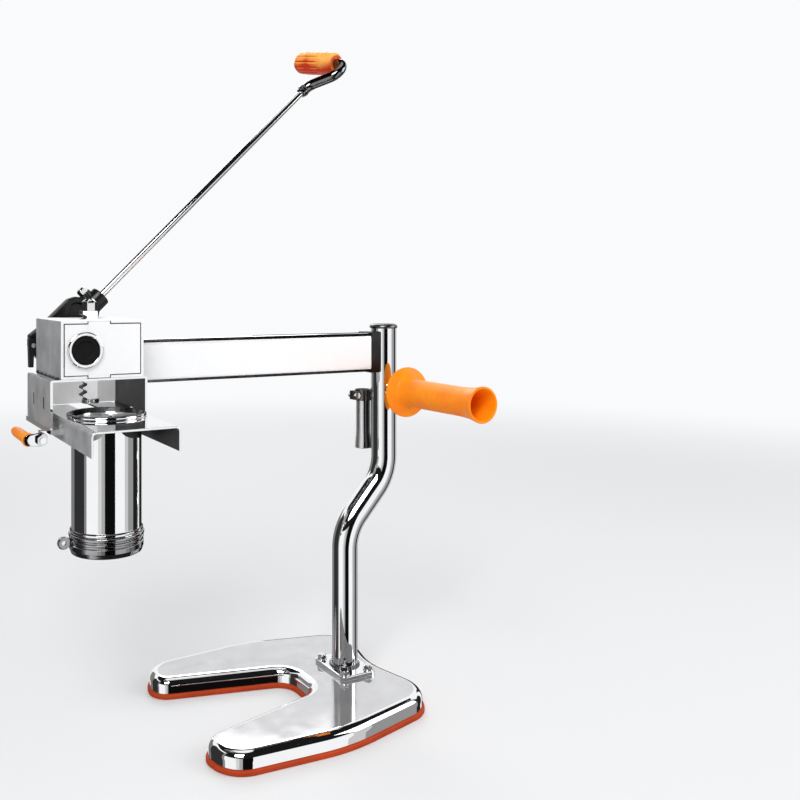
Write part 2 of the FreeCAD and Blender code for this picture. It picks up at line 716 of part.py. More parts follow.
# ---- Rack ---------------------------------------------------------------------------------
def rack_bar():
    """The square bar with straight-flanked teeth on its -X side, a gap facing the pinion's tooth."""
    tip_x = RACK_PITCH_X - GEAR_ADDENDUM
    root_x = RACK_PITCH_X + GEAR_DEDENDUM
    bar = block(root_x, RACK_BACK_X, -RACK_HALF_DEPTH, RACK_HALF_DEPTH, RACK_BOTTOM, RACK_TOP)
    slope = math.tan(PRESSURE_ANGLE)
    half_pitch_width = (TOOTH_PITCH / 2.0 - BACKLASH) / 2.0
    half_tip = half_pitch_width - GEAR_ADDENDUM * slope
    half_root = half_pitch_width + GEAR_DEDENDUM * slope
    lowest = SHAFT_Z - TOOTH_PITCH * 6.5
    solids = [bar]
    for i in range(RACK_TEETH):
        z = lowest + TOOTH_PITCH * i
        points = [
            V(root_x, -RACK_HALF_DEPTH, z - half_root),
            V(tip_x, -RACK_HALF_DEPTH, z - half_tip),
            V(tip_x, -RACK_HALF_DEPTH, z + half_tip),
            V(root_x, -RACK_HALF_DEPTH, z + half_root),
            V(root_x, -RACK_HALF_DEPTH, z - half_root),
        ]
        solids.append(Part.Face(Part.makePolygon(points)).extrude(V(0, 2.0 * RACK_HALF_DEPTH, 0)))
    bar = merged(solids)
    depth = RACK_HALF_DEPTH + 1.0
    limit = block(tip_x - 1.0, RACK_BACK_X + 1.0, -depth, depth, RACK_BOTTOM, RACK_TOP)
    top_depth = STOP_BOLT_SHANK + 1.0
    foot_depth = FOOT_SCREW_SHANK + 1.0
    top_hole = rod_z(STOP_BOLT_X, 0, RACK_TOP - top_depth, RACK_TOP + 1.0, STOP_BOLT_RADIUS)
    foot_hole = rod_z(BARREL_X, 0, RACK_BOTTOM - 1.0, RACK_BOTTOM + foot_depth, FOOT_SCREW_RADIUS)
    return without(bar.common(limit), top_hole, foot_hole)


def rack_stop_bolt():
    """The bolt in the rack's top end; its head keeps the rack from dropping out of the pinion."""
    shank = rod_z(STOP_BOLT_X, 0, RACK_TOP - STOP_BOLT_SHANK, RACK_TOP, STOP_BOLT_RADIUS)
    head = hex_prism(V(STOP_BOLT_X, 0, RACK_TOP), Z_AXIS, X_AXIS, STOP_BOLT_FLATS, STOP_BOLT_HEIGHT)
    return merged([shank, head])


def pressure_foot():
    """The round foot that bears on the pusher."""
    base = RACK_BOTTOM - FOOT_THICKNESS
    foot = rod_z(BARREL_X, 0, base, RACK_BOTTOM, FOOT_RADIUS)
    foot = rounded(foot, 1.2, lambda edge: lies_at(edge, base) or lies_at(edge, RACK_BOTTOM))
    hole = rod_z(BARREL_X, 0, base - 1.0, RACK_BOTTOM + 1.0, FOOT_SCREW_RADIUS)
    recess = rod_z(BARREL_X, 0, base - 1.0, base + FOOT_RECESS, FOOT_SCREW_HEAD_RADIUS)
    return without(foot, hole, recess)


def foot_screw():
    """The screw that holds the foot to the rack."""
    base = RACK_BOTTOM - FOOT_THICKNESS
    seat = base + FOOT_RECESS
    head = rod_z(BARREL_X, 0, base + 0.5, seat, FOOT_SCREW_HEAD_RADIUS)
    shank = rod_z(BARREL_X, 0, seat, RACK_BOTTOM + FOOT_SCREW_SHANK, FOOT_SCREW_RADIUS)
    return merged([head, shank])


# ---- Crank lever --------------------------------------------------------------------------
def lever_axes():
    """The lever's own directions: along the rod, across it in the lever's plane, along the grip."""
    angle = math.radians(LEVER_ANGLE)
    twist = math.radians(ROD_TWIST)
    along = V(math.cos(angle), 0, math.sin(angle))
    across = V(-math.sin(angle), 0, math.cos(angle))
    grip = Y_AXIS * math.cos(twist) + across * math.sin(twist)
    return along, across, grip


def lever_point(along_rod, along_grip):
    """A point in the plane of the bent end."""
    along, _, grip = lever_axes()
    return V(SHAFT_X, LEVER_Y, SHAFT_Z) + along * along_rod + grip * along_grip


def spindle_point(along_grip):
    """A point on the grip's own turning axis."""
    return lever_point(NECK_RUN[-1][0], along_grip)


def lever_outline(corners, depth):
    """A prism from the hub's front face, its corners given along the rod and across it."""
    along, across, _ = lever_axes()
    centre = V(SHAFT_X, HUB_FRONT, SHAFT_Z)
    points = [centre + along * a + across * b for a, b in corners]
    points.append(points[0])
    return Part.Face(Part.makePolygon(points)).extrude(V(0, depth, 0))


def lever_head():
    """The black casting: a hub with an ear for the pawl's pin, and a web to the rod's clamp socket."""
    along, across, _ = lever_axes()
    hub = rod_y(SHAFT_X, SHAFT_Z, HUB_FRONT, HUB_BACK, HUB_RADIUS)
    ear = rod_y(PAWL_PIN_X, PAWL_PIN_Z, HUB_FRONT, HUB_BACK, HUB_EAR_RADIUS)
    web = lever_outline(WEB_OUTLINE, HUB_BACK - HUB_FRONT)
    pocket = lever_outline(POCKET_OUTLINE, POCKET_DEPTH)
    socket_length = SOCKET_END - SOCKET_START
    socket = Part.makeCylinder(SOCKET_RADIUS, socket_length, lever_point(SOCKET_START, 0), along)
    boss_base = lever_point(CLAMP_BOLT_AT, 0)
    boss = Part.makeCylinder(CLAMP_BOSS_RADIUS, CLAMP_BOSS_HEIGHT, boss_base, across)
    body = merged([hub, ear, web, socket, boss]).cut(pocket)
    rod_hole = Part.makeCylinder(ROD_RADIUS, 60.0, lever_point(ROD_START, 0), along)
    bolt_hole = Part.makeCylinder(BOLT_RADIUS, 30.0, boss_base, across)
    low = HUB_FRONT - 1.0
    high = HUB_BACK + 1.0
    pin_hole = rod_y(PAWL_PIN_X, PAWL_PIN_Z, low, high, PAWL_PIN_RADIUS)
    shaft_hole = rod_y(SHAFT_X, SHAFT_Z, low, high, SHAFT_RADIUS + RUNNING_GAP)
    return without(body, rod_hole, bolt_hole, pin_hole, shaft_hole)


def lever_rod():
    """The long straight rod, its root held in the socket."""
    along, _, _ = lever_axes()
    return Part.makeCylinder(ROD_RADIUS, ROD_END - ROD_START, lever_point(ROD_START, 0), along)


def crank_neck():
    """The thick bent end with a ferrule on the rod and the spindle that the grip turns on."""
    along, _, grip = lever_axes()
    points = [lever_point(a, b) for a, b in NECK_RUN]
    bend = swept_rod(rounded_run(points, NECK_ARCS), NECK_RADIUS)
    spindle = Part.makeCylinder(SPINDLE_RADIUS, SPINDLE_END - NECK_RUN[-1][1], points[-1], grip)
    ferrule_radius = NECK_RADIUS + 1.0
    ferrule = Part.makeCylinder(ferrule_radius, FERRULE_LENGTH, lever_point(FERRULE_START, 0), along)
    socket = Part.makeCylinder(ROD_RADIUS, NECK_SOCKET, lever_point(ROD_END - NECK_SOCKET, 0), along)
    screw_end = spindle_point(SPINDLE_END - GRIP_SCREW_LENGTH)
    screw_hole = Part.makeCylinder(GRIP_SCREW_RADIUS, GRIP_SCREW_LENGTH + 1.0, screw_end, grip)
    return without(merged([bend, spindle, ferrule]), socket, screw_hole)


def grip_screw():
    """The screw and its wide head that keep the grip on its spindle."""
    _, _, grip = lever_axes()
    screw_end = spindle_point(SPINDLE_END - GRIP_SCREW_LENGTH)
    shank = Part.makeCylinder(GRIP_SCREW_RADIUS, GRIP_SCREW_LENGTH, screw_end, grip)
    head = Part.makeCylinder(GRIP_SCREW_HEAD_RADIUS, 2.0, spindle_point(SPINDLE_END), grip)
    return merged([shank, head])


def crank_grip():
    """The barrel-shaped plastic grip that turns on the spindle, with a smooth collar at its root."""
    along, _, grip = lever_axes()
    start = CRANK_GRIP_START
    end = CRANK_GRIP_END
    radius = CRANK_GRIP_RADIUS
    screw_well = GRIP_SCREW_HEAD_RADIUS + 0.5
    profile = [
        (SPINDLE_RADIUS + RUNNING_GAP, start),
        (radius - 3.5, start),
        (radius - 1.2, start + 2.5),
        (radius - 0.6, start + 14.0),
        (radius, start + 18.0),
        (radius, end - 20.0),
        (radius - 1.0, end - 6.0),
        (radius - 3.0, end - 1.5),
        (radius - 6.0, end),
        (screw_well, end),
        (screw_well, SPINDLE_END - 2.5),
        (SPINDLE_RADIUS + RUNNING_GAP, SPINDLE_END - 2.5),
    ]
    return turned(profile, spindle_point(0), grip, along)


def clamp_bolt():
    """The bolt that clamps the rod in its socket."""
    _, across, _ = lever_axes()
    seat = lever_point(CLAMP_BOLT_AT, 0) + across * CLAMP_BOSS_HEIGHT
    reach = CLAMP_BOSS_HEIGHT - ROD_RADIUS
    shank = Part.makeCylinder(BOLT_RADIUS, reach, seat - across * reach, across)
    head = hex_prism(seat, across, Y_AXIS, BOLT_FLATS, 7.0)
    return merged([shank, head])


def pawl_pin():
    """The pin in the lever's hub that the pawl rocks on."""
    return rod_y(PAWL_PIN_X, PAWL_PIN_Z, WHEEL_FRONT, HUB_BACK, PAWL_PIN_RADIUS)


def pawl():
    """The pawl with its thumb tail, lifted just clear of the ratchet wheel."""
    outline = [(-31.5, 6.0), (-23.0, 6.0), (-21.8, 2.0), (-21.5, -6.0)]
    outline += [(-15.8, -15.2), (-19.9, -18.1), (-25.5, -12.0), (-26.0, -25.0), (-30.5, -25.0), (-31.0, -6.0)]
    points = [V(SHAFT_X + x, PAWL_FRONT, SHAFT_Z + z) for x, z in outline]
    points.append(points[0])
    plate = Part.Face(Part.makePolygon(points)).extrude(V(0, PAWL_THICKNESS, 0))
    far_side = PAWL_FRONT + PAWL_THICKNESS + 1.0
    return plate.cut(rod_y(PAWL_PIN_X, PAWL_PIN_Z, WHEEL_FRONT, far_side, PAWL_PIN_RADIUS + RUNNING_GAP))


# ---- Tray, barrel and die -----------------------------------------------------------------
def carriage_bracket():
    """The inverted folded channel under the housing: the tray passes under its back and right walls."""
    floor = TRAY_TOP - TRAY_FLANGE
    outer = block(BRACKET_LEFT, BRACKET_RIGHT, BRACKET_FRONT, BRACKET_BACK, floor, HOUSING_BOTTOM)
    outer = rounded(
        outer,
        BRACKET_WALL,
        lambda edge: runs_along(edge, Y_AXIS) and lies_at(edge, HOUSING_BOTTOM),
    )
    inner = block(
        BRACKET_LEFT + BRACKET_WALL,
        BRACKET_RIGHT - BRACKET_WALL,
        BRACKET_FRONT - 1.0,
        BRACKET_BACK - BRACKET_WALL,
        floor - 1.0,
        HOUSING_BOTTOM - BRACKET_TOP_WALL,
    )
    left_face = BRACKET_LEFT + BRACKET_WALL
    right_face = BRACKET_RIGHT - BRACKET_WALL
    front = BRACKET_FRONT - 1.0
    back = BRACKET_BACK + 1.0
    leg = BRACKET_REAR_LEG_Y
    under_left = block(BRACKET_LEFT - 1.0, left_face, front, back, floor - 1.0, BRACKET_LEFT_BOTTOM)
    under_back = block(left_face, right_face, front, back, floor - 1.0, BRACKET_CLEAR_BOTTOM)
    under_right = block(right_face, BRACKET_RIGHT + 1.0, front, leg, floor - 1.0, BRACKET_CLEAR_BOTTOM)
    slots = []
    for y in SLOT_PLACES_Y:
        y0 = y - SLOT_HALF_WIDTH
        y1 = y + SLOT_HALF_WIDTH
        z0 = SLOT_Z - SLOT_HALF_HEIGHT
        z1 = SLOT_Z + SLOT_HALF_HEIGHT
        slots.append(block(BRACKET_LEFT - 1.0, BRACKET_LEFT + BRACKET_WALL + 1.0, y0, y1, z0, z1))
    top_way = rack_way(inner.BoundBox.ZMax - 1.0, HOUSING_BOTTOM + 1.0)
    return without(outer, inner, top_way, under_left, under_back, under_right, *slots)


def rail_left():
    """The bar under the left wall that the tray's runner slides on."""
    low = BRACKET_LEFT_BOTTOM - BAR_THICKNESS
    inner = TRAY_LEFT - 2.0 * TRAY_RUNNING_GAP
    rail = block(BAR_LEFT, inner, BAR_FRONT, BRACKET_BACK, low, BRACKET_LEFT_BOTTOM)
    return rounded(rail, 1.0, lambda edge: runs_along(edge, Y_AXIS) and lies_at(edge, low))


def rail_right():
    """The lip under the right wall's rear leg that the tray's edge slides on."""
    high = TRAY_TOP - TRAY_FLANGE
    low = high - LIP_THICKNESS
    inner = TRAY_RIGHT - LIP_OVERLAP_RIGHT
    rail = block(inner, BRACKET_RIGHT, BRACKET_REAR_LEG_Y, BRACKET_BACK, low, high)
    return rounded(rail, 1.0, lambda edge: runs_along(edge, Y_AXIS) and lies_at(edge, low))


def tray_runner():
    """The strip on the tray's left side that carries it on the bar."""
    low = BRACKET_LEFT_BOTTOM + TRAY_RUNNING_GAP
    return block(TRAY_LEFT - RUNNER_WIDTH, TRAY_LEFT, RUNNER_FRONT, TRAY_REAR, low, low + RUNNER_WIDTH)


def tray():
    """The sliding tray: turned-down sides, a hole for the barrel, open at the rear under the rack."""
    top = TRAY_TOP
    bottom = top - TRAY_FLANGE
    outer = block(TRAY_LEFT, TRAY_RIGHT, TRAY_FRONT, TRAY_REAR, bottom + TRAY_RUNNING_GAP, top)
    outer = rounded(outer, TRAY_BEND, lambda edge: runs_along(edge, Y_AXIS) and lies_at(edge, top))
    inner = block(
        TRAY_LEFT + TRAY_SHEET,
        TRAY_RIGHT - TRAY_SHEET,
        TRAY_FRONT - 1.0,
        TRAY_REAR + 1.0,
        bottom - 1.0,
        top - TRAY_SHEET,
    )
    inner = rounded(
        inner,
        TRAY_BEND - TRAY_SHEET,
        lambda edge: runs_along(edge, Y_AXIS) and lies_at(edge, top - TRAY_SHEET),
    )
    hole = rod_z(BARREL_X, BARREL_Y, bottom, top + 1.0, BARREL_RADIUS)
    half = FOOT_RADIUS + TRAY_WAY_CLEARANCE
    way_left = min(RACK_WAY_LEFT, BARREL_X - half)
    way_right = max(RACK_WAY_RIGHT, BARREL_X + half)
    way = block(way_left, way_right, -half, TRAY_REAR + 1.0, bottom, top + 1.0)
    return without(outer, inner, hole, way)


def barrel():
    """The dough barrel: a drawn tube with a flared rim on the tray and a bead above the die ring."""
    profile = [
        (BARREL_BORE, BARREL_BOTTOM),
        (RING_SEAT_RADIUS, BARREL_BOTTOM),
        (RING_SEAT_RADIUS, RING_TOP + 0.6),
        (BARREL_RADIUS + 1.4, RING_TOP + 1.2),
        (BARREL_RADIUS + 1.4, RING_TOP + 3.2),
        (BARREL_RADIUS, RING_TOP + 4.2),
        (BARREL_RADIUS, TRAY_TOP),
        (RIM_RADIUS - 1.0, TRAY_TOP),
        (RIM_RADIUS, TRAY_TOP + 1.0),
        (RIM_RADIUS, RIM_TOP - 1.0),
        (RIM_RADIUS - 1.0, RIM_TOP),
        (RIM_RADIUS - 3.0, RIM_TOP),
        (BARREL_BORE, RIM_TOP - 5.0),
    ]
    return turned(profile, V(BARREL_X, BARREL_Y, 0), Z_AXIS, X_AXIS)


def die_ring():
    """The grooved ring round the die and the barrel's end, with one lug to turn it by."""
    inner = RING_SEAT_RADIUS + RING_GAP
    outer = RING_RADIUS
    groove = outer - GROOVE_DEPTH
    floor = RING_BOTTOM + RING_FLOOR
    profile = [
        (inner, floor),
        (LIP_RADIUS, floor),
        (outer - 0.6, RING_BOTTOM + 3.5),
        (outer, RING_BOTTOM + 5.0),
        (outer, RING_BOTTOM + 9.5),
        (groove, RING_BOTTOM + 10.3),
        (groove, RING_BOTTOM + 11.8),
        (outer, RING_BOTTOM + 12.6),
        (outer, RING_BOTTOM + 14.2),
        (groove, RING_BOTTOM + 15.0),
        (groove, RING_BOTTOM + 16.0),
        (outer + 0.6, RING_BOTTOM + 17.2),
        (outer + 0.6, RING_TOP - 1.0),
        (outer - 0.4, RING_TOP),
        (inner, RING_TOP),
    ]
    ring = turned(profile, V(BARREL_X, BARREL_Y, 0), Z_AXIS, X_AXIS)
    return merged([ring, ring_lug()])


def die_lip():
    """The lip that closes the ring's lower end round its opening and carries the die."""
    profile = [
        (RING_OPENING, RING_BOTTOM),
        (RING_RADIUS - 3.0, RING_BOTTOM),
        (LIP_RADIUS, RING_BOTTOM + RING_FLOOR),
        (RING_OPENING, RING_BOTTOM + RING_FLOOR),
    ]
    return turned(profile, V(BARREL_X, BARREL_Y, 0), Z_AXIS, X_AXIS)


def ring_lug():
    """The upright lug of the ring, round, with one hole."""
    x = BARREL_X - RING_RADIUS - LUG_RADIUS
    z = RING_TOP - LUG_DROP
    front = BARREL_Y - LUG_THICKNESS / 2.0
    back = BARREL_Y + LUG_THICKNESS / 2.0
    tip = rod_y(x, z, front, back, LUG_RADIUS)
    root = block(x, BARREL_X - RING_RADIUS + 0.8, front, back, z - 4.5, z + 4.5)
    hole = rod_y(x - 0.5, z, front - 1.0, back + 1.0, LUG_HOLE_RADIUS)
    inside = rod_z(BARREL_X, BARREL_Y, RING_BOTTOM, RING_TOP, RING_RADIUS - 1.5)
    return without(merged([tip, root]), hole, inside)


def die_plate():
    """The die: a disc with rings of round holes."""
    low = RING_BOTTOM + RING_FLOOR
    disc = rod_z(BARREL_X, BARREL_Y, low, DIE_TOP, DIE_RADIUS)
    holes = [rod_z(BARREL_X, BARREL_Y, low - 1.0, DIE_TOP + 1.0, DIE_HOLE_RADIUS)]
    for radius, count in ((9.0, 6), (18.0, 12), (26.5, 18)):
        for i in range(count):
            angle = 2.0 * math.pi * i / count
            x = BARREL_X + radius * math.cos(angle)
            y = BARREL_Y + radius * math.sin(angle)
            holes.append(rod_z(x, y, low - 1.0, DIE_TOP + 1.0, DIE_HOLE_RADIUS))
    return disc.cut(Part.makeCompound(holes))


def pusher_disc():
    """The loose pusher that the foot drives down the barrel, grooved for its seal."""
    profile = [
        (0.0, PUSHER_BOTTOM),
        (PUSHER_RADIUS, PUSHER_BOTTOM),
        (PUSHER_RADIUS, SEAL_LOW),
        (SEAL_ROOT_RADIUS, SEAL_LOW),
        (SEAL_ROOT_RADIUS, SEAL_HIGH),
        (PUSHER_RADIUS, SEAL_HIGH),
        (PUSHER_RADIUS, PUSHER_TOP - 1.0),
        (PUSHER_RADIUS - 1.0, PUSHER_TOP),
        (0.0, PUSHER_TOP),
    ]
    disc = turned(profile, V(BARREL_X, BARREL_Y, 0), Z_AXIS, X_AXIS)
    low = PUSHER_TOP - PUSHER_SCREW_DEPTH
    return disc.cut(rod_z(BARREL_X, BARREL_Y, low, PUSHER_TOP + 1.0, PUSHER_SCREW_RADIUS))


def pusher_seal():
    """The soft ring round the pusher."""
    ring = rod_z(BARREL_X, BARREL_Y, SEAL_LOW, SEAL_HIGH, BARREL_BORE - 0.1)
    return ring.cut(rod_z(BARREL_X, BARREL_Y, SEAL_LOW - 1.0, SEAL_HIGH + 1.0, SEAL_ROOT_RADIUS))


def pusher_screw():
    """The screw by which the pusher is pulled out of the barrel for washing."""
    low = PUSHER_TOP - PUSHER_SCREW_DEPTH
    high = PUSHER_TOP + PUSHER_SCREW_HEAD
    shank = rod_z(BARREL_X, BARREL_Y, low, PUSHER_TOP, PUSHER_SCREW_RADIUS)
    head = rod_z(BARREL_X, BARREL_Y, PUSHER_TOP, high, PUSHER_SCREW_RADIUS + 2.0)
    head = rounded(head, 1.2, lambda edge: lies_at(edge, high))
    return merged([shank, head])


# ---- Side grip, holder and lock -----------------------------------------------------------
def grip_stud():
    """The tube welded to the post that carries the side grip."""
    stud = rod_y(POST_OFFSET, SIDE_GRIP_Z, STUD_END_Y, -POST_RADIUS + 4.0, STUD_RADIUS)
    reach = STUD_RADIUS + 1.0
    return stud.cut(rod_z(POST_OFFSET, 0, SIDE_GRIP_Z - reach, SIDE_GRIP_Z + reach, POST_RADIUS))


def side_grip():
    """The big hand grip: a round flange, a body, and a flared open end."""
    length = SIDE_GRIP_FLANGE_Y - SIDE_GRIP_END_Y
    stud_depth = SIDE_GRIP_FLANGE_Y - STUD_END_Y
    cavity_floor = length - GRIP_CAVITY_DEPTH
    flange = SIDE_GRIP_FLANGE_RADIUS
    body = SIDE_GRIP_RADIUS
    mouth = SIDE_GRIP_MOUTH_RADIUS
    profile = [
        (STUD_RADIUS, 0.0),
        (flange - 3.0, 0.0),
        (flange - 0.6, 0.8),
        (flange, 2.2),
        (flange - 0.6, 3.6),
        (flange - 4.0, 5.5),
        (flange - 9.5, 9.0),
        (body + 1.2, 13.5),
        (body, 18.0),
        (body, length - 34.0),
        (body + 0.8, length - 16.0),
        (mouth, length - 1.5),
        (mouth - 0.6, length),
        (mouth - 3.0, length - 1.0),
        (body - 3.0, cavity_floor + 16.0),
        (body - 4.5, cavity_floor),
        (0.0, cavity_floor),
        (0.0, stud_depth),
        (STUD_RADIUS, stud_depth),
    ]
    return turned(profile, V(POST_OFFSET, SIDE_GRIP_FLANGE_Y, SIDE_GRIP_Z), V(0, -1, 0), X_AXIS)


def holder_tube():
    """The small upright tube behind the post, open at the top, with a lip and a drain at the bottom."""
    floor = HOLDER_BOTTOM + HOLDER_FLOOR
    lip = HOLDER_RADIUS + 1.2
    profile = [
        (HOLDER_BORE, floor),
        (HOLDER_BORE, HOLDER_TOP),
        (HOLDER_RADIUS, HOLDER_TOP),
        (HOLDER_RADIUS, floor),
        (lip, floor - 1.0),
        (lip, HOLDER_BOTTOM + 1.0),
        (HOLDER_RADIUS, HOLDER_BOTTOM),
        (HOLDER_DRAIN_RADIUS, HOLDER_BOTTOM),
        (HOLDER_DRAIN_RADIUS, floor),
    ]
    return turned(profile, V(HOLDER_X, HOLDER_Y, 0), Z_AXIS, X_AXIS)


def holder_collar():
    """The clamp collar round the top of the holder tube: a web to the post and two ears for its bolt."""
    low = COLLAR_BOTTOM - 1.0
    high = COLLAR_TOP + 1.0
    y0 = HOLDER_Y - EAR_HALF_WIDTH
    y1 = HOLDER_Y + EAR_HALF_WIDTH
    ring = rod_z(HOLDER_X, HOLDER_Y, COLLAR_BOTTOM, COLLAR_TOP, COLLAR_RADIUS)
    ears = block(EAR_LEFT, HOLDER_X - HOLDER_BORE, y0, y1, COLLAR_BOTTOM + 1.5, COLLAR_TOP - 1.5)
    web = block(
        HOLDER_X,
        COLLAR_WEB_RIGHT,
        COLLAR_WEB_FRONT,
        HOLDER_Y,
        COLLAR_BOTTOM + 1.5,
        COLLAR_TOP - 1.5,
    )
    bore = rod_z(HOLDER_X, HOLDER_Y, HOLDER_TOP, high, HOLDER_BORE)
    seat = rod_z(HOLDER_X, HOLDER_Y, low, HOLDER_TOP, HOLDER_RADIUS)
    post = rod_z(POST_OFFSET, 0, low, high, POST_RADIUS)
    gap = block(EAR_LEFT - 1.0, HOLDER_X - HOLDER_BORE + 1.0, HOLDER_Y - 1.0, HOLDER_Y + 1.0, low, high)
    hole = rod_y(EAR_BOLT_X, EAR_BOLT_Z, y0 - 1.0, y1 + 1.0, EAR_BOLT_RADIUS)
    return without(merged([ring, ears, web]), bore, seat, post, gap, hole)


def holder_bolt():
    """The little bolt and nut that draw the collar's ears together."""
    y0 = HOLDER_Y - EAR_HALF_WIDTH
    y1 = HOLDER_Y + EAR_HALF_WIDTH
    shank = rod_y(EAR_BOLT_X, EAR_BOLT_Z, y0, y1 + 3.0, EAR_BOLT_RADIUS)
    head = hex_prism(V(EAR_BOLT_X, y0 - 3.5, EAR_BOLT_Z), Y_AXIS, X_AXIS, 7.0, 3.5)
    nut = hex_prism(V(EAR_BOLT_X, y1, EAR_BOLT_Z), Y_AXIS, X_AXIS, 7.0, 4.0)
    return merged([shank, head, nut])


def lock_lug():
    """The lug on the tray's bar, with the stud that the lock lever turns on."""
    boss = rod_y(LOCK_X, LOCK_Z, BRACKET_FRONT, LUG_BACK_Y, 4.6)
    bridge = block(LOCK_X, BAR_LEFT, BRACKET_FRONT, LUG_BACK_Y, LOCK_Z + 1.5, LOCK_Z + 7.5)
    stud = rod_y(LOCK_X, LOCK_Z, STUD_FRONT_Y, LUG_BACK_Y, LOCK_STUD_RADIUS)
    return merged([boss, bridge, stud])


def lock_link():
    """The flat link of the lock lever, with the spigot that carries its grip."""
    x_grip = LOCK_X - LOCK_ARM
    eye = rod_y(LOCK_X, LOCK_Z, LINK_FRONT_Y, LINK_BACK_Y, 6.5)
    end = rod_y(x_grip, LOCK_Z, LINK_FRONT_Y, LINK_BACK_Y, 5.5)
    bar = block(x_grip, LOCK_X, LINK_FRONT_Y, LINK_BACK_Y, LOCK_Z - 5.0, LOCK_Z + 5.0)
    spigot = rod_y(x_grip, LOCK_Z, LINK_BACK_Y, LINK_BACK_Y + SPIGOT_LENGTH, SPIGOT_RADIUS)
    hole = rod_y(LOCK_X, LOCK_Z, LINK_FRONT_Y - 1.0, LINK_BACK_Y + 1.0, LOCK_STUD_RADIUS + RUNNING_GAP)
    return merged([eye, end, bar, spigot]).cut(hole)


def lock_grip():
    """The small plastic grip pushed on the link's spigot."""
    radius = LOCK_GRIP_RADIUS
    profile = [
        (SPIGOT_RADIUS, 0.0),
        (radius, 0.0),
        (radius + 1.2, 1.5),
        (radius + 1.2, 4.0),
        (radius - 0.3, 6.0),
        (radius, 20.0),
        (radius, 58.0),
        (radius - 1.4, 64.0),
        (radius - 3.2, 67.0),
        (0.0, 68.0),
        (0.0, SPIGOT_LENGTH),
        (SPIGOT_RADIUS, SPIGOT_LENGTH),
    ]
    return turned(profile, V(LOCK_X - LOCK_ARM, LINK_BACK_Y, LOCK_Z), Y_AXIS, X_AXIS)


def lock_nut():
    """The nut and washer that keep the link on its stud."""
    washer_back = LINK_FRONT_Y - 0.4
    washer_front = washer_back - 1.1
    nut_height = 4.5
    washer = rod_y(LOCK_X, LOCK_Z, washer_front, washer_back, 6.0)
    nut = hex_prism(V(LOCK_X, washer_front - nut_height, LOCK_Z), Y_AXIS, Z_AXIS, BOLT_FLATS, nut_height)
    whole = merged([washer, nut])
    return whole.cut(rod_y(LOCK_X, LOCK_Z, STUD_FRONT_Y - 1.0, LINK_FRONT_Y, LOCK_STUD_RADIUS))


# ---- Every node and its maker -------------------------------------------------------------
NODES = {
    "base_plate": base_plate,
    "base_pad": base_pad,
    "post_flange": post_flange,
    "flange_bolts": flange_bolts,
    "flange_nuts": flange_nuts,
    "post_tube": post_tube,
    "post_cap": post_cap,
    "arm_tube": arm_tube,
    "arm_saddle": arm_saddle,
    "housing_shell": housing_shell,
    "housing_front": lambda: end_plate(-1),
    "housing_back": lambda: end_plate(1),
    "front_bearing": front_bearing,
    "front_plug": front_plug,
    "rear_bearing": rear_bearing,
    "rack_guide": rack_guide,
    "carriage_bracket": carriage_bracket,
    "rail_left": rail_left,
    "rail_right": rail_right,
    "grip_stud": grip_stud,
    "side_grip": side_grip,
    "holder_tube": holder_tube,
    "holder_collar": holder_collar,
    "holder_bolt": holder_bolt,
    "lock_lug": lock_lug,
    "lock_nut": lock_nut,
    "pinion_shaft": pinion_shaft,
    "pinion_gear": pinion_gear,
    "ratchet_wheel": ratchet_wheel,
    "lever_washer": lever_washer,
    "lever_nut": lever_nut,
    "rack_bar": rack_bar,
    "rack_stop_bolt": rack_stop_bolt,
    "pressure_foot": pressure_foot,
    "foot_screw": foot_screw,
    "lever_head": lever_head,
    "lever_rod": lever_rod,
    "crank_neck": crank_neck,
    "clamp_bolt": clamp_bolt,
    "pawl_pin": pawl_pin,
    "grip_screw": grip_screw,
    "crank_grip": crank_grip,
    "pawl": pawl,
    "tray": tray,
    "tray_runner": tray_runner,
    "barrel": barrel,
    "die_ring": die_ring,
    "die_lip": die_lip,
    "die_plate": die_plate,
    "pusher_disc": pusher_disc,
    "pusher_seal": pusher_seal,
    "pusher_screw": pusher_screw,
    "lock_link": lock_link,
    "lock_grip": lock_grip,
}

os.makedirs("parts", exist_ok=True)
for node, make in NODES.items():
    shape = make()
    if not shape.isValid():
        print("INVALID", node)
    shape.exportStep("parts/" + node + ".step")
    print(node, len(shape.Solids), "solid(s)", round(shape.Volume), "mm3")
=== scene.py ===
"""A stand-mounted pasta press with a crank lever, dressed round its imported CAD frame.

Shapes are worked out in millimetres in the frame's own directions, with +Z up, +X running from the
press head towards the post and -Y on the side of the big grip, and become metres as each mesh is made.
"""

from __future__ import annotations

import json
import logging
import math
from dataclasses import dataclass, field
from enum import Enum
from functools import cached_property
from typing import Any, Callable, Sequence

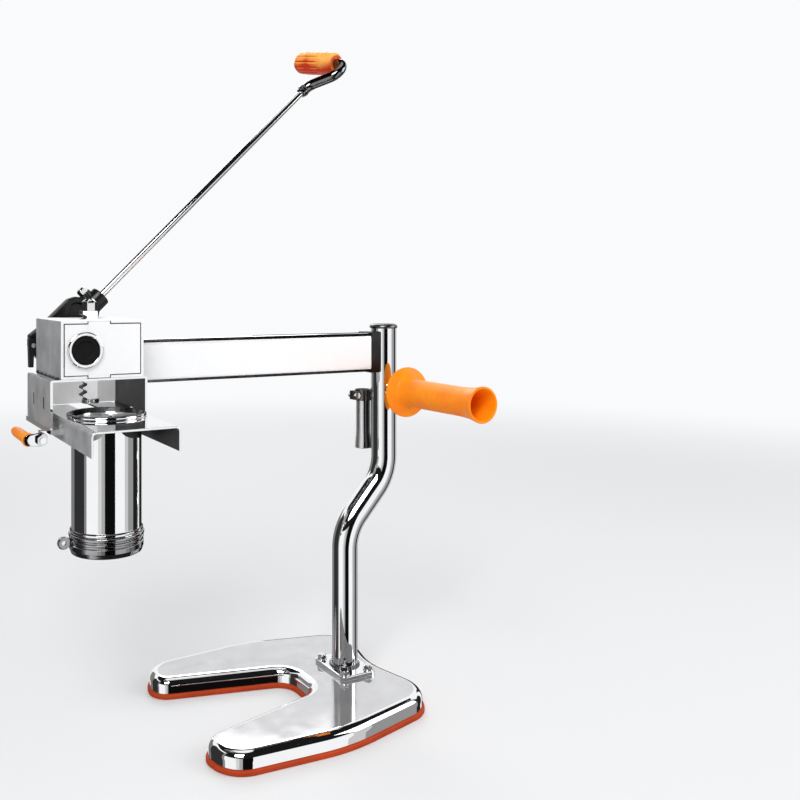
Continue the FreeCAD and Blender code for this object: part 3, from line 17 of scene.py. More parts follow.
import bmesh
import bpy
import numpy as np
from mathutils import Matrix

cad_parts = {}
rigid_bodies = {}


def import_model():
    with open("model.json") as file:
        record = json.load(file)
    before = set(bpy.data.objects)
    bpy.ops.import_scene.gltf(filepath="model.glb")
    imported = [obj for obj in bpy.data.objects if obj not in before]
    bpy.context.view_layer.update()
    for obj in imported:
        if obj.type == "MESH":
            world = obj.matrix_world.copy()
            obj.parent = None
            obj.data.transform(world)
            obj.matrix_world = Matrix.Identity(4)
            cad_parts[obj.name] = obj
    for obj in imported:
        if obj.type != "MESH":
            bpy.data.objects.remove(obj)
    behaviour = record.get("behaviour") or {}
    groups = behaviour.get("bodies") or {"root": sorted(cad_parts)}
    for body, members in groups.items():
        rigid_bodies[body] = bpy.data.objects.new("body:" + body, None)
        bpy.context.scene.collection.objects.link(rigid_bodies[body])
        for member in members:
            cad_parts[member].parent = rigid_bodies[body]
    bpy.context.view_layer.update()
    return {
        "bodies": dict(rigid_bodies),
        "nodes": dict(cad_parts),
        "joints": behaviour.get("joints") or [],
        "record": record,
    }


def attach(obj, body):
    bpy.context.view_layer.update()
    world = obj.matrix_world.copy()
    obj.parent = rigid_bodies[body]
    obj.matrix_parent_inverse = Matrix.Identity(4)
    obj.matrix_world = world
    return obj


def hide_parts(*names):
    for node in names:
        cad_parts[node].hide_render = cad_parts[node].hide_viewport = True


LOG = logging.getLogger("pasta_press")
MM = 0.001
WELD_DISTANCE = 1e-6
X, Y, Z = np.eye(3)
Points = np.ndarray
Relief = Callable[[Points, Points], Points]
Span = tuple[float, float]
Cells = tuple[int, int]
Corner = tuple[float, float, float]
Colour = tuple[float, float, float]
Outline = tuple[Corner, ...]

# Driving places in millimetres, which several groups of pieces share.
POST_X = 58.0
POST_RADIUS = 16.0
SHAFT_X, SHAFT_Z = -340.6, 427.0
BARREL_AXIS = (-320.0, -58.0)
HEAD_FLOOR = 398.0
HEAD_END = -279.0
BRACKET_END = -274.5
RACK_WAY = (-331.5, -311.0)
RACK_WAY_HALF = 9.5
CHANNEL_MIDDLE = -330.0

# The least dot product at which a face counts as flat, the part of its range that a noise keeps to,
# and the name of the attribute that tells how far a surface looks up, for painted light from above.
FLAT_FACE = 0.999
NOISE_MIDDLE = (0.3, 0.7)
UPWARD = "upward"


# ---- Numbers into curves ------------------------------------------------------------------
def vec(*values: float) -> Points:
    """Returns the values as one float array."""
    return np.array(values, float)


def unit(vectors: Points) -> Points:
    """Returns one vector, or each row of an array, scaled to length one."""
    return vectors / np.linalg.norm(vectors, axis=-1, keepdims=True)


def rounded(points: Sequence, radii: Sequence[float], closed: bool = False, steps: int = 6) -> Points:
    """Turns the corners of a polyline into arcs that touch both of its straight runs.

    An arc's centre lies on the corner's bisector at radius / sin(half the corner's angle), and its
    points are sin((1 - t) a) / sin(a) times the first spoke plus sin(t a) / sin(a) times the last one,
    where a is the turn and t runs from 0 to 1.

    Args:
        points: the corners, in two or three dimensions.
        radii: one radius for each corner; 0 keeps the corner as it is.
        closed: whether the last corner joins the first.
        steps: how many pieces each arc is cut into.

    Returns:
        The points of the rounded line, one row each.
    """
    corners = np.asarray(points, float)
    count = len(corners)
    runs = []
    for i, radius in enumerate(radii):
        if radius <= 0.0 or (not closed and i in (0, count - 1)):
            runs.append(corners[i : i + 1])
            continue
        back = unit(corners[i - 1] - corners[i])
        ahead = unit(corners[(i + 1) % count] - corners[i])
        half = 0.5 * math.acos(float(np.clip(back @ ahead, -1.0, 1.0)))
        centre = corners[i] + unit(back + ahead) * radius / math.sin(half)
        reach = radius / math.tan(half)
        first = corners[i] + back * reach - centre
        last = corners[i] + ahead * reach - centre
        turn = math.pi - 2.0 * half
        t = np.linspace(0.0, 1.0, steps + 1)[:, None]
        runs.append(centre + (np.sin((1.0 - t) * turn) * first + np.sin(t * turn) * last) / math.sin(turn))
    return np.vstack(runs)


def outline(corners: Sequence[Corner], closed: bool = True, steps: int = 6) -> Points:
    """Rounds a plane line whose corners are rows of two places and a radius.

    Args:
        corners: the rows.
        closed: whether the last corner joins the first.
        steps: how many pieces each arc is cut into.

    Returns:
        The points of the rounded line, one row each.
    """
    table = np.array(corners, float)
    return rounded(table[:, :2], table[:, 2], closed, steps)


def circle(radius: float, count: int = 48) -> Points:
    """Returns a closed ring: radius times the cosine and sine of evenly spaced angles."""
    angles = np.arange(count) * 2.0 * math.pi / count
    return radius * np.column_stack([np.cos(angles), np.sin(angles)])


def inset_loop(loop: Points, inset: float) -> Points:
    """Moves a closed plan loop inwards by a distance, keeping every edge parallel to itself.

    Each point moves along the sum of its two edges' inward normals over one plus their dot product.

    Args:
        loop: the closed loop, one row for each point.
        inset: how far the edges move inwards; a negative one moves them outwards.

    Returns:
        The moved loop.
    """
    ahead = np.roll(loop, -1, axis=0)
    edges = unit(ahead - loop)
    area = np.sum(loop[:, 0] * ahead[:, 1] - ahead[:, 0] * loop[:, 1])
    normals = np.column_stack([-edges[:, 1], edges[:, 0]]) * math.copysign(1.0, area)
    before = np.roll(normals, 1, axis=0)
    mitre = (normals + before) / (1.0 + np.sum(normals * before, axis=1, keepdims=True))
    return loop + inset * mitre


def rolled_edge(low: float, high: float, low_radius: float, high_radius: float, steps: int = 5) -> Points:
    """Works out the side of a slab whose two edges are rounded.

    Each edge is a quarter arc: the inset is r (1 - sin t) while the height is r (1 - cos t) above the
    lower face, and the same mirrored below the upper face.

    Args:
        low: height of the lower face.
        high: height of the upper face.
        low_radius: radius of the lower edge.
        high_radius: radius of the upper edge.
        steps: how many pieces each arc is cut into.

    Returns:
        Rows of (inset, height) from the lower face to the upper one.
    """
    t = np.linspace(0.0, 0.5 * math.pi, steps + 1)
    below = np.column_stack([low_radius * (1.0 - np.sin(t)), low + low_radius * (1.0 - np.cos(t))])
    above = np.column_stack([high_radius * (1.0 - np.cos(t)), high - high_radius * (1.0 - np.sin(t))])
    return np.vstack([below, above])


def grooves(count: int, depth: float, start: float, end: float, fade: float = 4.0) -> Relief:
    """Makes the relief of narrow lengthwise grooves between broad lobes.

    The relief is -depth (1 - |sin(count angle / 2)|) cubed, faded in and out by smooth steps.

    Args:
        count: grooves round the surface.
        depth: how deep they are.
        start: where they begin along the axis.
        end: where they end along the axis.
        fade: the length over which they fade at each end.

    Returns:
        A function of the angle and the distance along the axis that gives the change of radius.
    """

    def relief(angle: Points, along: Points) -> Points:
        """Works out the change of radius.

        Args:
            angle: the angle of each point round the axis.
            along: its distance along the axis.

        Returns:
            The change of radius at each point.
        """
        rise = np.clip((along - start) / fade, 0.0, 1.0) * np.clip((end - along) / fade, 0.0, 1.0)
        smooth = rise * rise * (3.0 - 2.0 * rise)
        return -depth * (1.0 - np.abs(np.sin(0.5 * count * angle))) ** 3 * smooth

    return relief


def resampled(line: Points, spacing: float) -> Points:
    """Returns a closed line's points with its long runs cut to a spacing.

    The stations are the line's own corners and evenly spaced distances between them.

    Args:
        line: the points, the last equal to the first.
        spacing: the longest run allowed.

    Returns:
        The points, without the repeated last one.
    """
    step = np.linalg.norm(np.diff(line, axis=0), axis=1)
    distance = np.concatenate([[0.0], np.cumsum(step)])
    even = np.linspace(0.0, distance[-1], int(distance[-1] / spacing) + 1)
    apart = np.min(np.abs(even[:, None] - distance[None, :]), axis=1)
    least_apart = 0.3 * spacing
    stations = np.unique(np.concatenate([distance, even[apart > least_apart]]))[:-1]
    return np.column_stack([np.interp(stations, distance, line[:, i]) for i in range(2)])


@dataclass(frozen=True)
class Seat:
    """A place to build on: an origin in millimetres and three directions, the last one rising."""

    origin: Points
    right: Points
    ahead: Points
    rise: Points

    def at(self, plan: Points, height: Points | float) -> Points:
        """Returns plan points raised to a height, as points in space."""
        lift = np.broadcast_to(np.asarray(height, float), plan.shape[:-1])[..., None]
        return self.origin + plan[..., :1] * self.right + plan[..., 1:2] * self.ahead + lift * self.rise


LEVEL = Seat(np.zeros(3), X, Y, Z)
UPRIGHT = Seat(np.zeros(3), X, Z, Y)


def seat_along(origin: Points, axis: Points) -> Seat:
    """Makes a seat that rises along an axis.

    Its right is square to the axis and to X, or to Y where the axis runs near X.

    Args:
        origin: where it stands.
        axis: the direction in which it rises.

    Returns:
        The seat.
    """
    rise = unit(np.asarray(axis, float))
    near_parallel = 0.9
    helper = X if abs(rise @ X) < near_parallel else Y
    right = unit(np.cross(helper, rise))
    return Seat(np.asarray(origin, float), right, np.cross(rise, right), rise)


def extruded(section: Points, stations: Points) -> Points:
    """Repeats an upright section at places along Y.

    Args:
        section: rows of (x, z).
        stations: the places.

    Returns:
        A grid of points in space, section points by stations.
    """
    plan = np.repeat(section[:, None, :], len(stations), axis=1)
    return UPRIGHT.at(plan, np.broadcast_to(stations, plan.shape[:2]))


# ---- Meshes -------------------------------------------------------------------------------
@dataclass(frozen=True)
class Opening:
    """A hole in a folded sheet: its grid cells, its circle if round, and whether it is open at the end."""

    rows: Cells
    cols: Cells
    centre: Span | None = None
    radius: float = 0.0
    ends: bool = False

    def rim(self, surface: Points) -> Points:
        """Finds the grid points round the removed cells.

        Args:
            surface: one side of the sheet, as a grid of points.

        Returns:
            A loop, or three sides of a slot that is open at the end.
        """
        block = surface[self.rows[0] : self.rows[1] + 1, self.cols[0] : self.cols[1] + 1]
        if self.ends:
            block = block[:, ::-1] if self.cols[0] == 0 else block
            return np.concatenate([block[-1, ::-1], block[-2:0:-1, 0], block[0]])
        return np.concatenate([block[0, :-1], block[:-1, -1], block[-1, :0:-1], block[:0:-1, 0]])

    def edge(self, surface: Points) -> Points:
        """Works out the hole's own edge: the rim, drawn in along spokes to the circle if there is one.

        Args:
            surface: one side of the sheet, as a grid of points.

        Returns:
            The edge's points, one for each of the rim's.
        """
        rim = self.rim(surface)
        if self.centre is None:
            return rim
        middle = np.array([*self.centre, rim[0, 2]])
        return middle + self.radius * unit(rim - middle)


@dataclass(frozen=True)
class Facing:
    """Another finish for the faces of a piece that look one way, from a place along X and Y onwards."""

    look: Points
    finish: Finish
    least: float = 0.7
    beyond: float = -math.inf
    behind: float = -math.inf


@dataclass
class Shell:
    """Surface patches in millimetres that are welded into one closed piece."""

    points: list[Points] = field(default_factory=list)
    faces: list[list[int]] = field(default_factory=list)
    count: int = 0

    def grid(
        self,
        points: Points,
        wrap_rows: bool = False,
        wrap_cols: bool = False,
        keep: Points | None = None,
    ) -> "Shell":
        """Adds the quads between neighbours of a grid of points.

        Args:
            points: rows by columns by three.
            wrap_rows: whether the last row joins the first.
            wrap_cols: whether the last column joins the first.
            keep: which of the quads are kept, as a grid of truth values.

        Returns:
            The shell itself.
        """
        rows, cols = points.shape[:2]
        index = np.arange(rows * cols).reshape(rows, cols) + self.count
        index = np.vstack([index, index[:1]]) if wrap_rows else index
        index = np.hstack([index, index[:, :1]]) if wrap_cols else index
        quads = np.stack([index[:-1, :-1], index[1:, :-1], index[1:, 1:], index[:-1, 1:]], axis=-1)
        quads = quads.reshape(-1, 4) if keep is None else quads[keep]
        self.points.append(points.reshape(-1, 3))
        self.faces.extend(quads.tolist())
        self.count += rows * cols
        return self

    def cap(self, loop: Points) -> "Shell":
        """Adds one flat face.

        Args:
            loop: the points round it.

        Returns:
            The shell itself.
        """
        self.points.append(loop)
        self.faces.append(list(range(self.count, self.count + len(loop))))
        self.count += len(loop)
        return self

    def slab(self, loop: Points, side: Points, seat: Seat = LEVEL, caps: bool = True) -> "Shell":
        """Adds a slab: a plan loop inset and raised by each row of a side profile, closed by flat faces.

        Args:
            loop: the plan loop.
            side: rows of (inset, height).
            seat: where the slab stands.
            caps: whether its first and last rings are closed.

        Returns:
            The shell itself.
        """
        rings = np.stack([seat.at(inset_loop(loop, inset), height) for inset, height in side])
        self.grid(rings, wrap_cols=True)
        return self.cap(rings[0]).cap(rings[-1]) if caps else self

    def pierced(
        self,
        loop: Points,
        side: Points,
        centre: Span,
        radius: float,
        seat: Seat = LEVEL,
        rows: int = 4,
    ) -> "Shell":
        """Adds a slab with one round hole: each flat face runs along spokes from the loop to the circle.

        Args:
            loop: the plan loop, all of it in sight of the hole's centre.
            side: rows of (inset, height).
            centre: the hole's centre in the plan.
            radius: the hole's radius.
            seat: where the slab stands.
            rows: how many pieces a spoke is cut into.

        Returns:
            The shell itself.
        """
        middle = np.asarray(centre, float)
        blend = np.linspace(0.0, 1.0, rows + 1)[:, None, None]
        holes = []
        for inset, height in (side[0], side[-1]):
            ring = inset_loop(loop, inset)
            hole = middle + radius * unit(ring - middle)
            self.grid(seat.at(ring + blend * (hole - ring), height), wrap_cols=True)
            holes.append(seat.at(hole, height))
        self.grid(np.stack(holes), wrap_cols=True)
        return self.slab(loop, side, seat, caps=False)

    def turned(
        self,
        profile: Points,
        seat: Seat,
        segments: int = 96,
        closed: bool = True,
        relief: Relief | None = None,
    ) -> "Shell":
        """Adds a surface of revolution: each profile radius times (cos a, sin a), at its own height.

        Args:
            profile: rows of (radius, height).
            seat: the axis, rising.
            segments: how many angles the turn is cut into.
            closed: whether the profile's last row joins its first.
            relief: a change of radius by angle and height.

        Returns:
            The shell itself.
        """
        angle = np.arange(segments)[:, None] * 2.0 * math.pi / segments
        radius = np.broadcast_to(profile[None, :, 0], (segments, len(profile)))
        height = np.broadcast_to(profile[None, :, 1], radius.shape)
        if relief is not None:
            radius = radius + relief(angle, height)
        plan = np.stack([radius * np.cos(angle), radius * np.sin(angle)], axis=-1)
        return self.grid(seat.at(plan, height), wrap_rows=True, wrap_cols=closed)

    def swept(self, section: Points, path: Points, side: Points, swell: Points | None = None) -> "Shell":
        """Adds a bar: a closed section carried along a flat path and closed at both ends.

        At each path point the section's first direction is the constant side vector, and its second is
        the cross product of the side vector and the path's tangent there.

        Args:
            section: the closed section.
            path: the path's points.
            side: the direction square to the path's plane.
            swell: a scale of the section for each path point.

        Returns:
            The shell itself.
        """
        tangent = unit(np.gradient(path, axis=0))
        lift = np.cross(side, tangent)
        scale = np.ones(len(path)) if swell is None else swell
        across = section[None, :, :1] * scale[:, None, None] * side
        upward = section[None, :, 1:] * scale[:, None, None] * lift[:, None, :]
        rings = path[:, None, :] + across + upward
        return self.grid(rings, wrap_cols=True).cap(rings[0]).cap(rings[-1])

    def sheet(
        self,
        outer: Points,
        inner: Points,
        ring: bool = False,
        openings: Sequence[Opening] = (),
        rows: int = 4,
    ) -> "Shell":
        """Adds a folded sheet between two matching grids, with its edges closed and holes cut through.

        Args:
            outer: the outer surface, section points by stations.
            inner: the inner surface, with the same shape.
            ring: whether the section closes on itself.
            openings: the holes.
            rows: how many pieces a spoke round a round hole is cut into.

        Returns:
            The shell itself.
        """
        keep = np.ones((outer.shape[0] - (0 if ring else 1), outer.shape[1] - 1), bool)
        for hole in openings:
            keep[hole.rows[0] : hole.rows[1], hole.cols[0] : hole.cols[1]] = False
        blend = np.linspace(0.0, 1.0, rows + 1)[:, None, None]
        for surface in (outer, inner):
            self.grid(surface, wrap_rows=ring, keep=keep)
            for hole in openings:
                if hole.centre is not None:
                    rim = hole.rim(surface)
                    self.grid(rim + blend * (hole.edge(surface) - rim), wrap_cols=True)
        for hole in openings:
            self.grid(np.stack([hole.edge(outer), hole.edge(inner)]), wrap_cols=not hole.ends)
        for station in (0, -1):
            closing = np.stack([outer[:, station], inner[:, station]])
            self.grid(closing, wrap_cols=ring, keep=keep[:, station][None])
            if not ring:
                self.grid(np.stack([outer[station], inner[station]]))
        return self

    def hexagon(self, seat: Seat, flats: float, height: float, chamfer: float = 0.12) -> "Shell":
        """Adds a hexagon head: the lesser of the hexagon's radius and a cone that takes its corners off.

        Args:
            seat: the head's seat, rising to its crown.
            flats: the width across flats.
            height: the head's height.
            chamfer: the chamfer's share of the width.

        Returns:
            The shell itself.
        """
        count, slope = 72, 1.4
        angle = np.arange(count) * 2.0 * math.pi / count
        sector = np.mod(angle, math.pi / 3.0) - math.pi / 6.0
        radius = 0.5 * flats / np.cos(sector)
        level = vec(0.0, 0.35, 0.6, 0.75, 0.85, 0.93, 1.0) * height
        drop = np.maximum(level - (1.0 - chamfer * 2.0) * height, 0.0) * slope
        cone = flats / math.sqrt(3.0) - drop
        rings = np.minimum(radius[None, :], cone[:, None])
        plan = np.stack([rings * np.cos(angle), rings * np.sin(angle)], axis=-1)
        body = seat.at(plan, level[:, None])
        return self.grid(body, wrap_cols=True).cap(body[0]).cap(body[-1])

    def weld_bead(self, path: Points, radius: float, pitch: float, closed: bool = False) -> "Shell":
        """Adds a weld bead: a round section along a path whose size rises and falls once every pitch.

        The scale is 0.8 plus 0.2 times the absolute sine of pi times the distance over the pitch.

        Args:
            path: the seam's points.
            radius: the bead's radius.
            pitch: the length of one ripple.
            closed: whether the seam runs back to its start.

        Returns:
            The shell itself.
        """
        tangent = unit(np.gradient(path, axis=0))
        nearly_up = Z + 0.01 * X
        side = unit(np.cross(tangent, nearly_up))
        lift = np.cross(side, tangent)
        step = np.linalg.norm(np.diff(path, axis=0, prepend=path[:1]), axis=1)
        least = 0.8
        scale = least + (1.0 - least) * np.abs(np.sin(math.pi * np.cumsum(step) / pitch))
        ring = circle(radius, 12)
        rings = path[:, None] + scale[:, None, None] * (
            ring[None, :, :1] * side[:, None] + ring[None, :, 1:] * lift[:, None]
        )
        if closed:
            return self.grid(rings, wrap_rows=True, wrap_cols=True)
        return self.grid(rings, wrap_cols=True).cap(rings[0]).cap(rings[-1])

    def mesh(self, name: str) -> bpy.types.Mesh:
        """Welds the patches into one mesh in metres, with its faces outward and smooth.

        Args:
            name: the mesh's name.

        Returns:
            The mesh.
        """
        mesh = bpy.data.meshes.new(name)
        mesh.from_pydata((np.vstack(self.points) * MM).tolist(), [], self.faces)
        work = bmesh.new()
        work.from_mesh(mesh)
        bmesh.ops.remove_doubles(work, verts=work.verts, dist=WELD_DISTANCE)
        bmesh.ops.dissolve_degenerate(work, edges=work.edges, dist=WELD_DISTANCE)
        bmesh.ops.recalc_face_normals(work, faces=work.faces)
        work.to_mesh(mesh)
        work.free()
        mesh.polygons.foreach_set("use_smooth", np.ones(len(mesh.polygons), bool))
        return mesh

    def piece(
        self,
        name: str,
        body: str,
        slot: str,
        finish: Finish,
        *nodes: str,
        bevel: float = 0.0,
        crease: float = 35.0,
        facings: Sequence[Facing] = (),
    ) -> None:
        """Makes the patches into an object, dresses it and hangs it on its body.

        Args:
            name: the piece's name.
            body: the CAD body it moves with.
            slot: the record's material slot; not used.
            finish: its finish.
            nodes: the CAD nodes it stands for.
            bevel: width of the small bevel on its sharp edges, in millimetres.
            crease: the angle in degrees past which an edge stays sharp.
            facings: other finishes for the faces that look a given way; a later one wins.
        """
        mesh = self.mesh(name)
        mesh.set_sharp_from_angle(angle=math.radians(crease))
        mesh.materials.append(finish.material)
        set_facings(mesh, facings)
        mark_upward(mesh)
        thing = bpy.data.objects.new(name, mesh)
        bpy.context.scene.collection.objects.link(thing)
        soften(thing, bevel, math.radians(crease))
        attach(thing, body)
        if nodes:
            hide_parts(*nodes)
        LOG.info("%s on %s: %d faces", name, body, len(mesh.polygons))


def set_facings(mesh: bpy.types.Mesh, facings: Sequence[Facing]) -> None:
    """Gives faces the finish of the last facing that they look along and lie in.

    A face looks along a facing where its normal's dot product with the facing's look is past its
    least value, and lies in it where the face's centre is past its places along X and Y.

    Args:
        mesh: the piece's mesh, with its main finish in its first slot.
        facings: the facings.
    """
    normals, centres = np.empty((2, 3 * len(mesh.polygons)))
    mesh.polygons.foreach_get("normal", normals)
    mesh.polygons.foreach_get("center", centres)
    index = np.zeros(len(mesh.polygons), int)
    for i, facing in enumerate(facings):
        mesh.materials.append(facing.finish.material)
        chosen = normals.reshape(-1, 3) @ facing.look > facing.least
        chosen &= (centres[::3] > facing.beyond * MM) & (centres[1::3] > facing.behind * MM)
        index[chosen] = i + 1
    mesh.polygons.foreach_set("material_index", index)


def mark_upward(mesh: bpy.types.Mesh) -> None:
    """Stores each vertex normal's share along Z, from which the moulded finishes paint light from above.

    Args:
        mesh: the piece's mesh.
    """
    normals = np.empty(3 * len(mesh.vertices))
    mesh.vertices.foreach_get("normal", normals)
    marks = mesh.attributes.new(UPWARD, "FLOAT", "POINT")
    marks.data.foreach_set("value", normals[2::3].astype(np.float32))


def soften(thing: bpy.types.Object, bevel: float, crease: float) -> None:
    """Bevels an object's sharp edges, or evens out the shading of its flat faces.

    Args:
        thing: the object.
        bevel: the bevel's width in millimetres; 0 leaves the edges sharp.
        crease: the angle in radians past which an edge is bevelled.
    """
    if bevel > 0.0:
        edge = thing.modifiers.new("edge", "BEVEL")
        edge.width = bevel * MM
        edge.segments = 2
        edge.limit_method = "ANGLE"
        edge.angle_limit = crease
        edge.harden_normals = True
    else:
        thing.modifiers.new("flats", "WEIGHTED_NORMAL").keep_sharp = True


# ---- Finishes -----------------------------------------------------------------------------
class Grain(Enum):
    """Which way the fine lines of a finish run; the values stretch the pattern, in cycles a metre."""

    NONE = (260.0, 260.0, 260.0)
    ALONG_Z = (900.0, 900.0, 9.0)


class Tree:
    """A node tree, with short calls for adding and joining nodes."""

    def __init__(self, tree: bpy.types.NodeTree) -> None:
        """Empties the tree.

        Args:
            tree: the tree of a material or a world.
        """
        self.tree = tree
        self.tree.nodes.clear()

    def add(self, kind: str, operation: str = "", **inputs: Any) -> bpy.types.Node:
        """Adds a node and sets its inputs.

        Args:
            kind: the node's type.
            operation: what a math node does.
            inputs: the inputs' values, named with underscores for spaces.

        Returns:
            The node.
        """
        node = self.tree.nodes.new(kind)
        if operation:
            node.operation = operation
        for name, value in inputs.items():
            node.inputs[name.replace("_", " ")].default_value = value
        return node

    def join(self, source: bpy.types.NodeSocket, target: bpy.types.NodeSocket) -> None:
        """Joins an output to an input."""
        self.tree.links.new(source, target)


class Paint(Tree):
    """A material's tree, with its surface shader, its output and the place on the piece."""

    def __init__(self, name: str) -> None:
        """Makes a material whose tree holds a surface shader.

        Args:
            name: the material's name.
        """
        self.material = bpy.data.materials.new(name)
        self.material.use_nodes = True
        super().__init__(self.material.node_tree)
        self.shader = self.add("ShaderNodeBsdfPrincipled")
        self.output = self.add("ShaderNodeOutputMaterial")
        self.join(self.shader.outputs[0], self.output.inputs[0])
        self.place = self.add("ShaderNodeTexCoord").outputs["Object"]

    def set(self, **inputs: Any) -> None:
        """Sets inputs of the surface shader, named with underscores for spaces."""
        for name, value in inputs.items():
            self.shader.inputs[name.replace("_", " ")].default_value = value

    def noise(self, stretch: tuple[float, float, float], detail: float = 3.0) -> bpy.types.NodeSocket:
        """Adds a noise over the piece's own position.

        Args:
            stretch: cycles a metre along each direction.
            detail: the noise's detail.

        Returns:
            The noise's value.
        """
        mapping = self.add("ShaderNodeMapping", Scale=stretch)
        noise = self.add("ShaderNodeTexNoise", Scale=1.0, Detail=detail, Roughness=0.55)
        self.join(self.place, mapping.inputs["Vector"])
        self.join(mapping.outputs[0], noise.inputs["Vector"])
        return noise.outputs["Fac"]

    def spread(self, value: bpy.types.NodeSocket, low: float, high: float, target: str) -> None:
        """Maps the middle of a noise from low to high onto one of the shader's inputs.

        Args:
            value: the noise.
            low: the input's value where the noise is low.
            high: its value where the noise is high.
            target: the shader's input.
        """
        bottom, top = NOISE_MIDDLE
        node = self.add("ShaderNodeMapRange", From_Min=bottom, From_Max=top, To_Min=low, To_Max=high)
        self.join(value, node.inputs["Value"])
        self.join(node.outputs[0], self.shader.inputs[target])

    def tint(self, value: bpy.types.NodeSocket, low: Sequence[float], high: Sequence[float]) -> None:
        """Colours the surface from one colour to another by a noise.

        Args:
            value: the noise.
            low: the colour where the noise is low.
            high: the colour where it is high.
        """
        ramp = self.add("ShaderNodeValToRGB")
        for stop, position, colour in zip(ramp.color_ramp.elements, NOISE_MIDDLE, (low, high)):
            stop.position = position
            stop.color = (*colour, 1.0)
        self.join(value, ramp.inputs[0])
        self.join(ramp.outputs[0], self.shader.inputs["Base Color"])

    def bump(self, *layers: tuple[bpy.types.NodeSocket, float]) -> None:
        """Raises the surface by stacked noises.

        Args:
            layers: each noise with its depth in millimetres, the lowest first.
        """
        below = None
        for value, depth in layers:
            node = self.add("ShaderNodeBump", Strength=1.0, Distance=depth * MM)
            self.join(value, node.inputs["Height"])
            if below is not None:
                self.join(below.outputs[0], node.inputs["Normal"])
            below = node
        self.join(below.outputs[0], self.shader.inputs["Normal"])


@dataclass(frozen=True)
class Steel:
    """Bare or plated steel, from a mirror polish to a brushed face."""

    name: str
    colour: Colour = (0.955, 0.96, 0.965)
    shade: float = 0.96
    roughness: Span = (0.02, 0.06)
    grain: Grain = Grain.NONE
    grain_depth: float = 0.0
    ripple: float = 0.02
    ripple_size: float = 0.05
    metallic: float = 1.0
    glow: float = 0.0
    cloud_cycles: float = 38.0

    def material(self) -> bpy.types.Material:
        """Makes the material: cloudy wear in colour and gloss, fine lines and a slow ripple as relief,
        and a painted glow in its own colour, as strong as glow.

        Returns:
            The material.
        """
        paint = Paint(self.name)
        paint.set(Metallic=self.metallic, Emission_Color=(*self.colour, 1.0), Emission_Strength=self.glow)
        clouds = paint.noise((self.cloud_cycles,) * 3, detail=5.0)
        paint.tint(clouds, tuple(c * self.shade for c in self.colour), self.colour)
        lines = paint.noise(self.grain.value, detail=2.0)
        paint.spread(clouds if self.grain is Grain.NONE else lines, *self.roughness, "Roughness")
        slow = paint.noise((1.0 / self.ripple_size,) * 3, detail=1.0)
        paint.bump((slow, self.ripple), (lines, self.grain_depth))
        return paint.material


@dataclass(frozen=True)
class Moulded:
    """Moulded plastic or rubber with a faint colour drift, painted light from above, and a fine skin."""

    name: str
    # The first colour is the lit, pale one: painted light on upward faces and the pale end of the drift; the
    # second is painted shade on downward faces and the deep end of the drift.
    lit_and_pale: Colour
    deep: Colour
    roughness: Span = (0.28, 0.4)
    skin: float = 0.01
    skin_size: float = 0.0008
    glow: float = 0.0
    # How strongly the upward share of the normal paints light on top and shade below.
    lift: float = 0.12
    specular: float = 0.22
    drift_cycles: float = 24.0
    glow_radius: Colour = (1.0, 0.35, 0.1)
    glow_depth: float = 0.003

    def material(self) -> bpy.types.Material:
        """Makes the material: a drift of colour with painted light, lighter on top and darker below, and a
        fine skin.

        The colour's place between the deep colour and the lit, pale colour is the drift plus lift times
        the upward share of the surface's normal.

        Returns:
            The material.
        """
        paint = Paint(self.name)
        drift = paint.noise((self.drift_cycles,) * 3, detail=4.0)
        upward = paint.add("ShaderNodeAttribute")
        upward.attribute_name = UPWARD
        blend = paint.add("ShaderNodeMath", "MULTIPLY_ADD")
        blend.inputs[1].default_value = self.lift
        paint.join(upward.outputs["Fac"], blend.inputs[0])
        paint.join(drift, blend.inputs[2])
        paint.tint(blend.outputs[0], self.deep, self.lit_and_pale)
        paint.spread(drift, *self.roughness, "Roughness")
        paint.set(Specular_IOR_Level=self.specular, Subsurface_Weight=self.glow)
        paint.set(Subsurface_Radius=self.glow_radius, Subsurface_Scale=self.glow_depth)
        paint.bump((paint.noise((1.0 / self.skin_size,) * 3, detail=2.0), self.skin))
        return paint.material


@dataclass(frozen=True)
class Enamel:
    """Glossy enamel over a rough casting."""

    name: str
    colour: Colour = (0.003, 0.003, 0.0035)
    high_share: float = 1.8
    roughness: Span = (0.25, 0.4)
    specular: float = 0.3
    coat: float = 0.25
    coat_roughness: float = 0.08
    lump_cycles: float = 420.0
    lump_depth: float = 0.12

    def material(self) -> bpy.types.Material:
        """Makes the material: a lumpy cast skin under a clear coat.

        Returns:
            The material.
        """
        paint = Paint(self.name)
        lumps = paint.noise((self.lump_cycles,) * 3, detail=3.0)
        paint.tint(lumps, self.colour, tuple(c * self.high_share for c in self.colour))
        paint.spread(lumps, *self.roughness, "Roughness")
        paint.set(Specular_IOR_Level=self.specular, Coat_Weight=self.coat, Coat_Roughness=self.coat_roughness)
        paint.bump((lumps, self.lump_depth))
        return paint.material


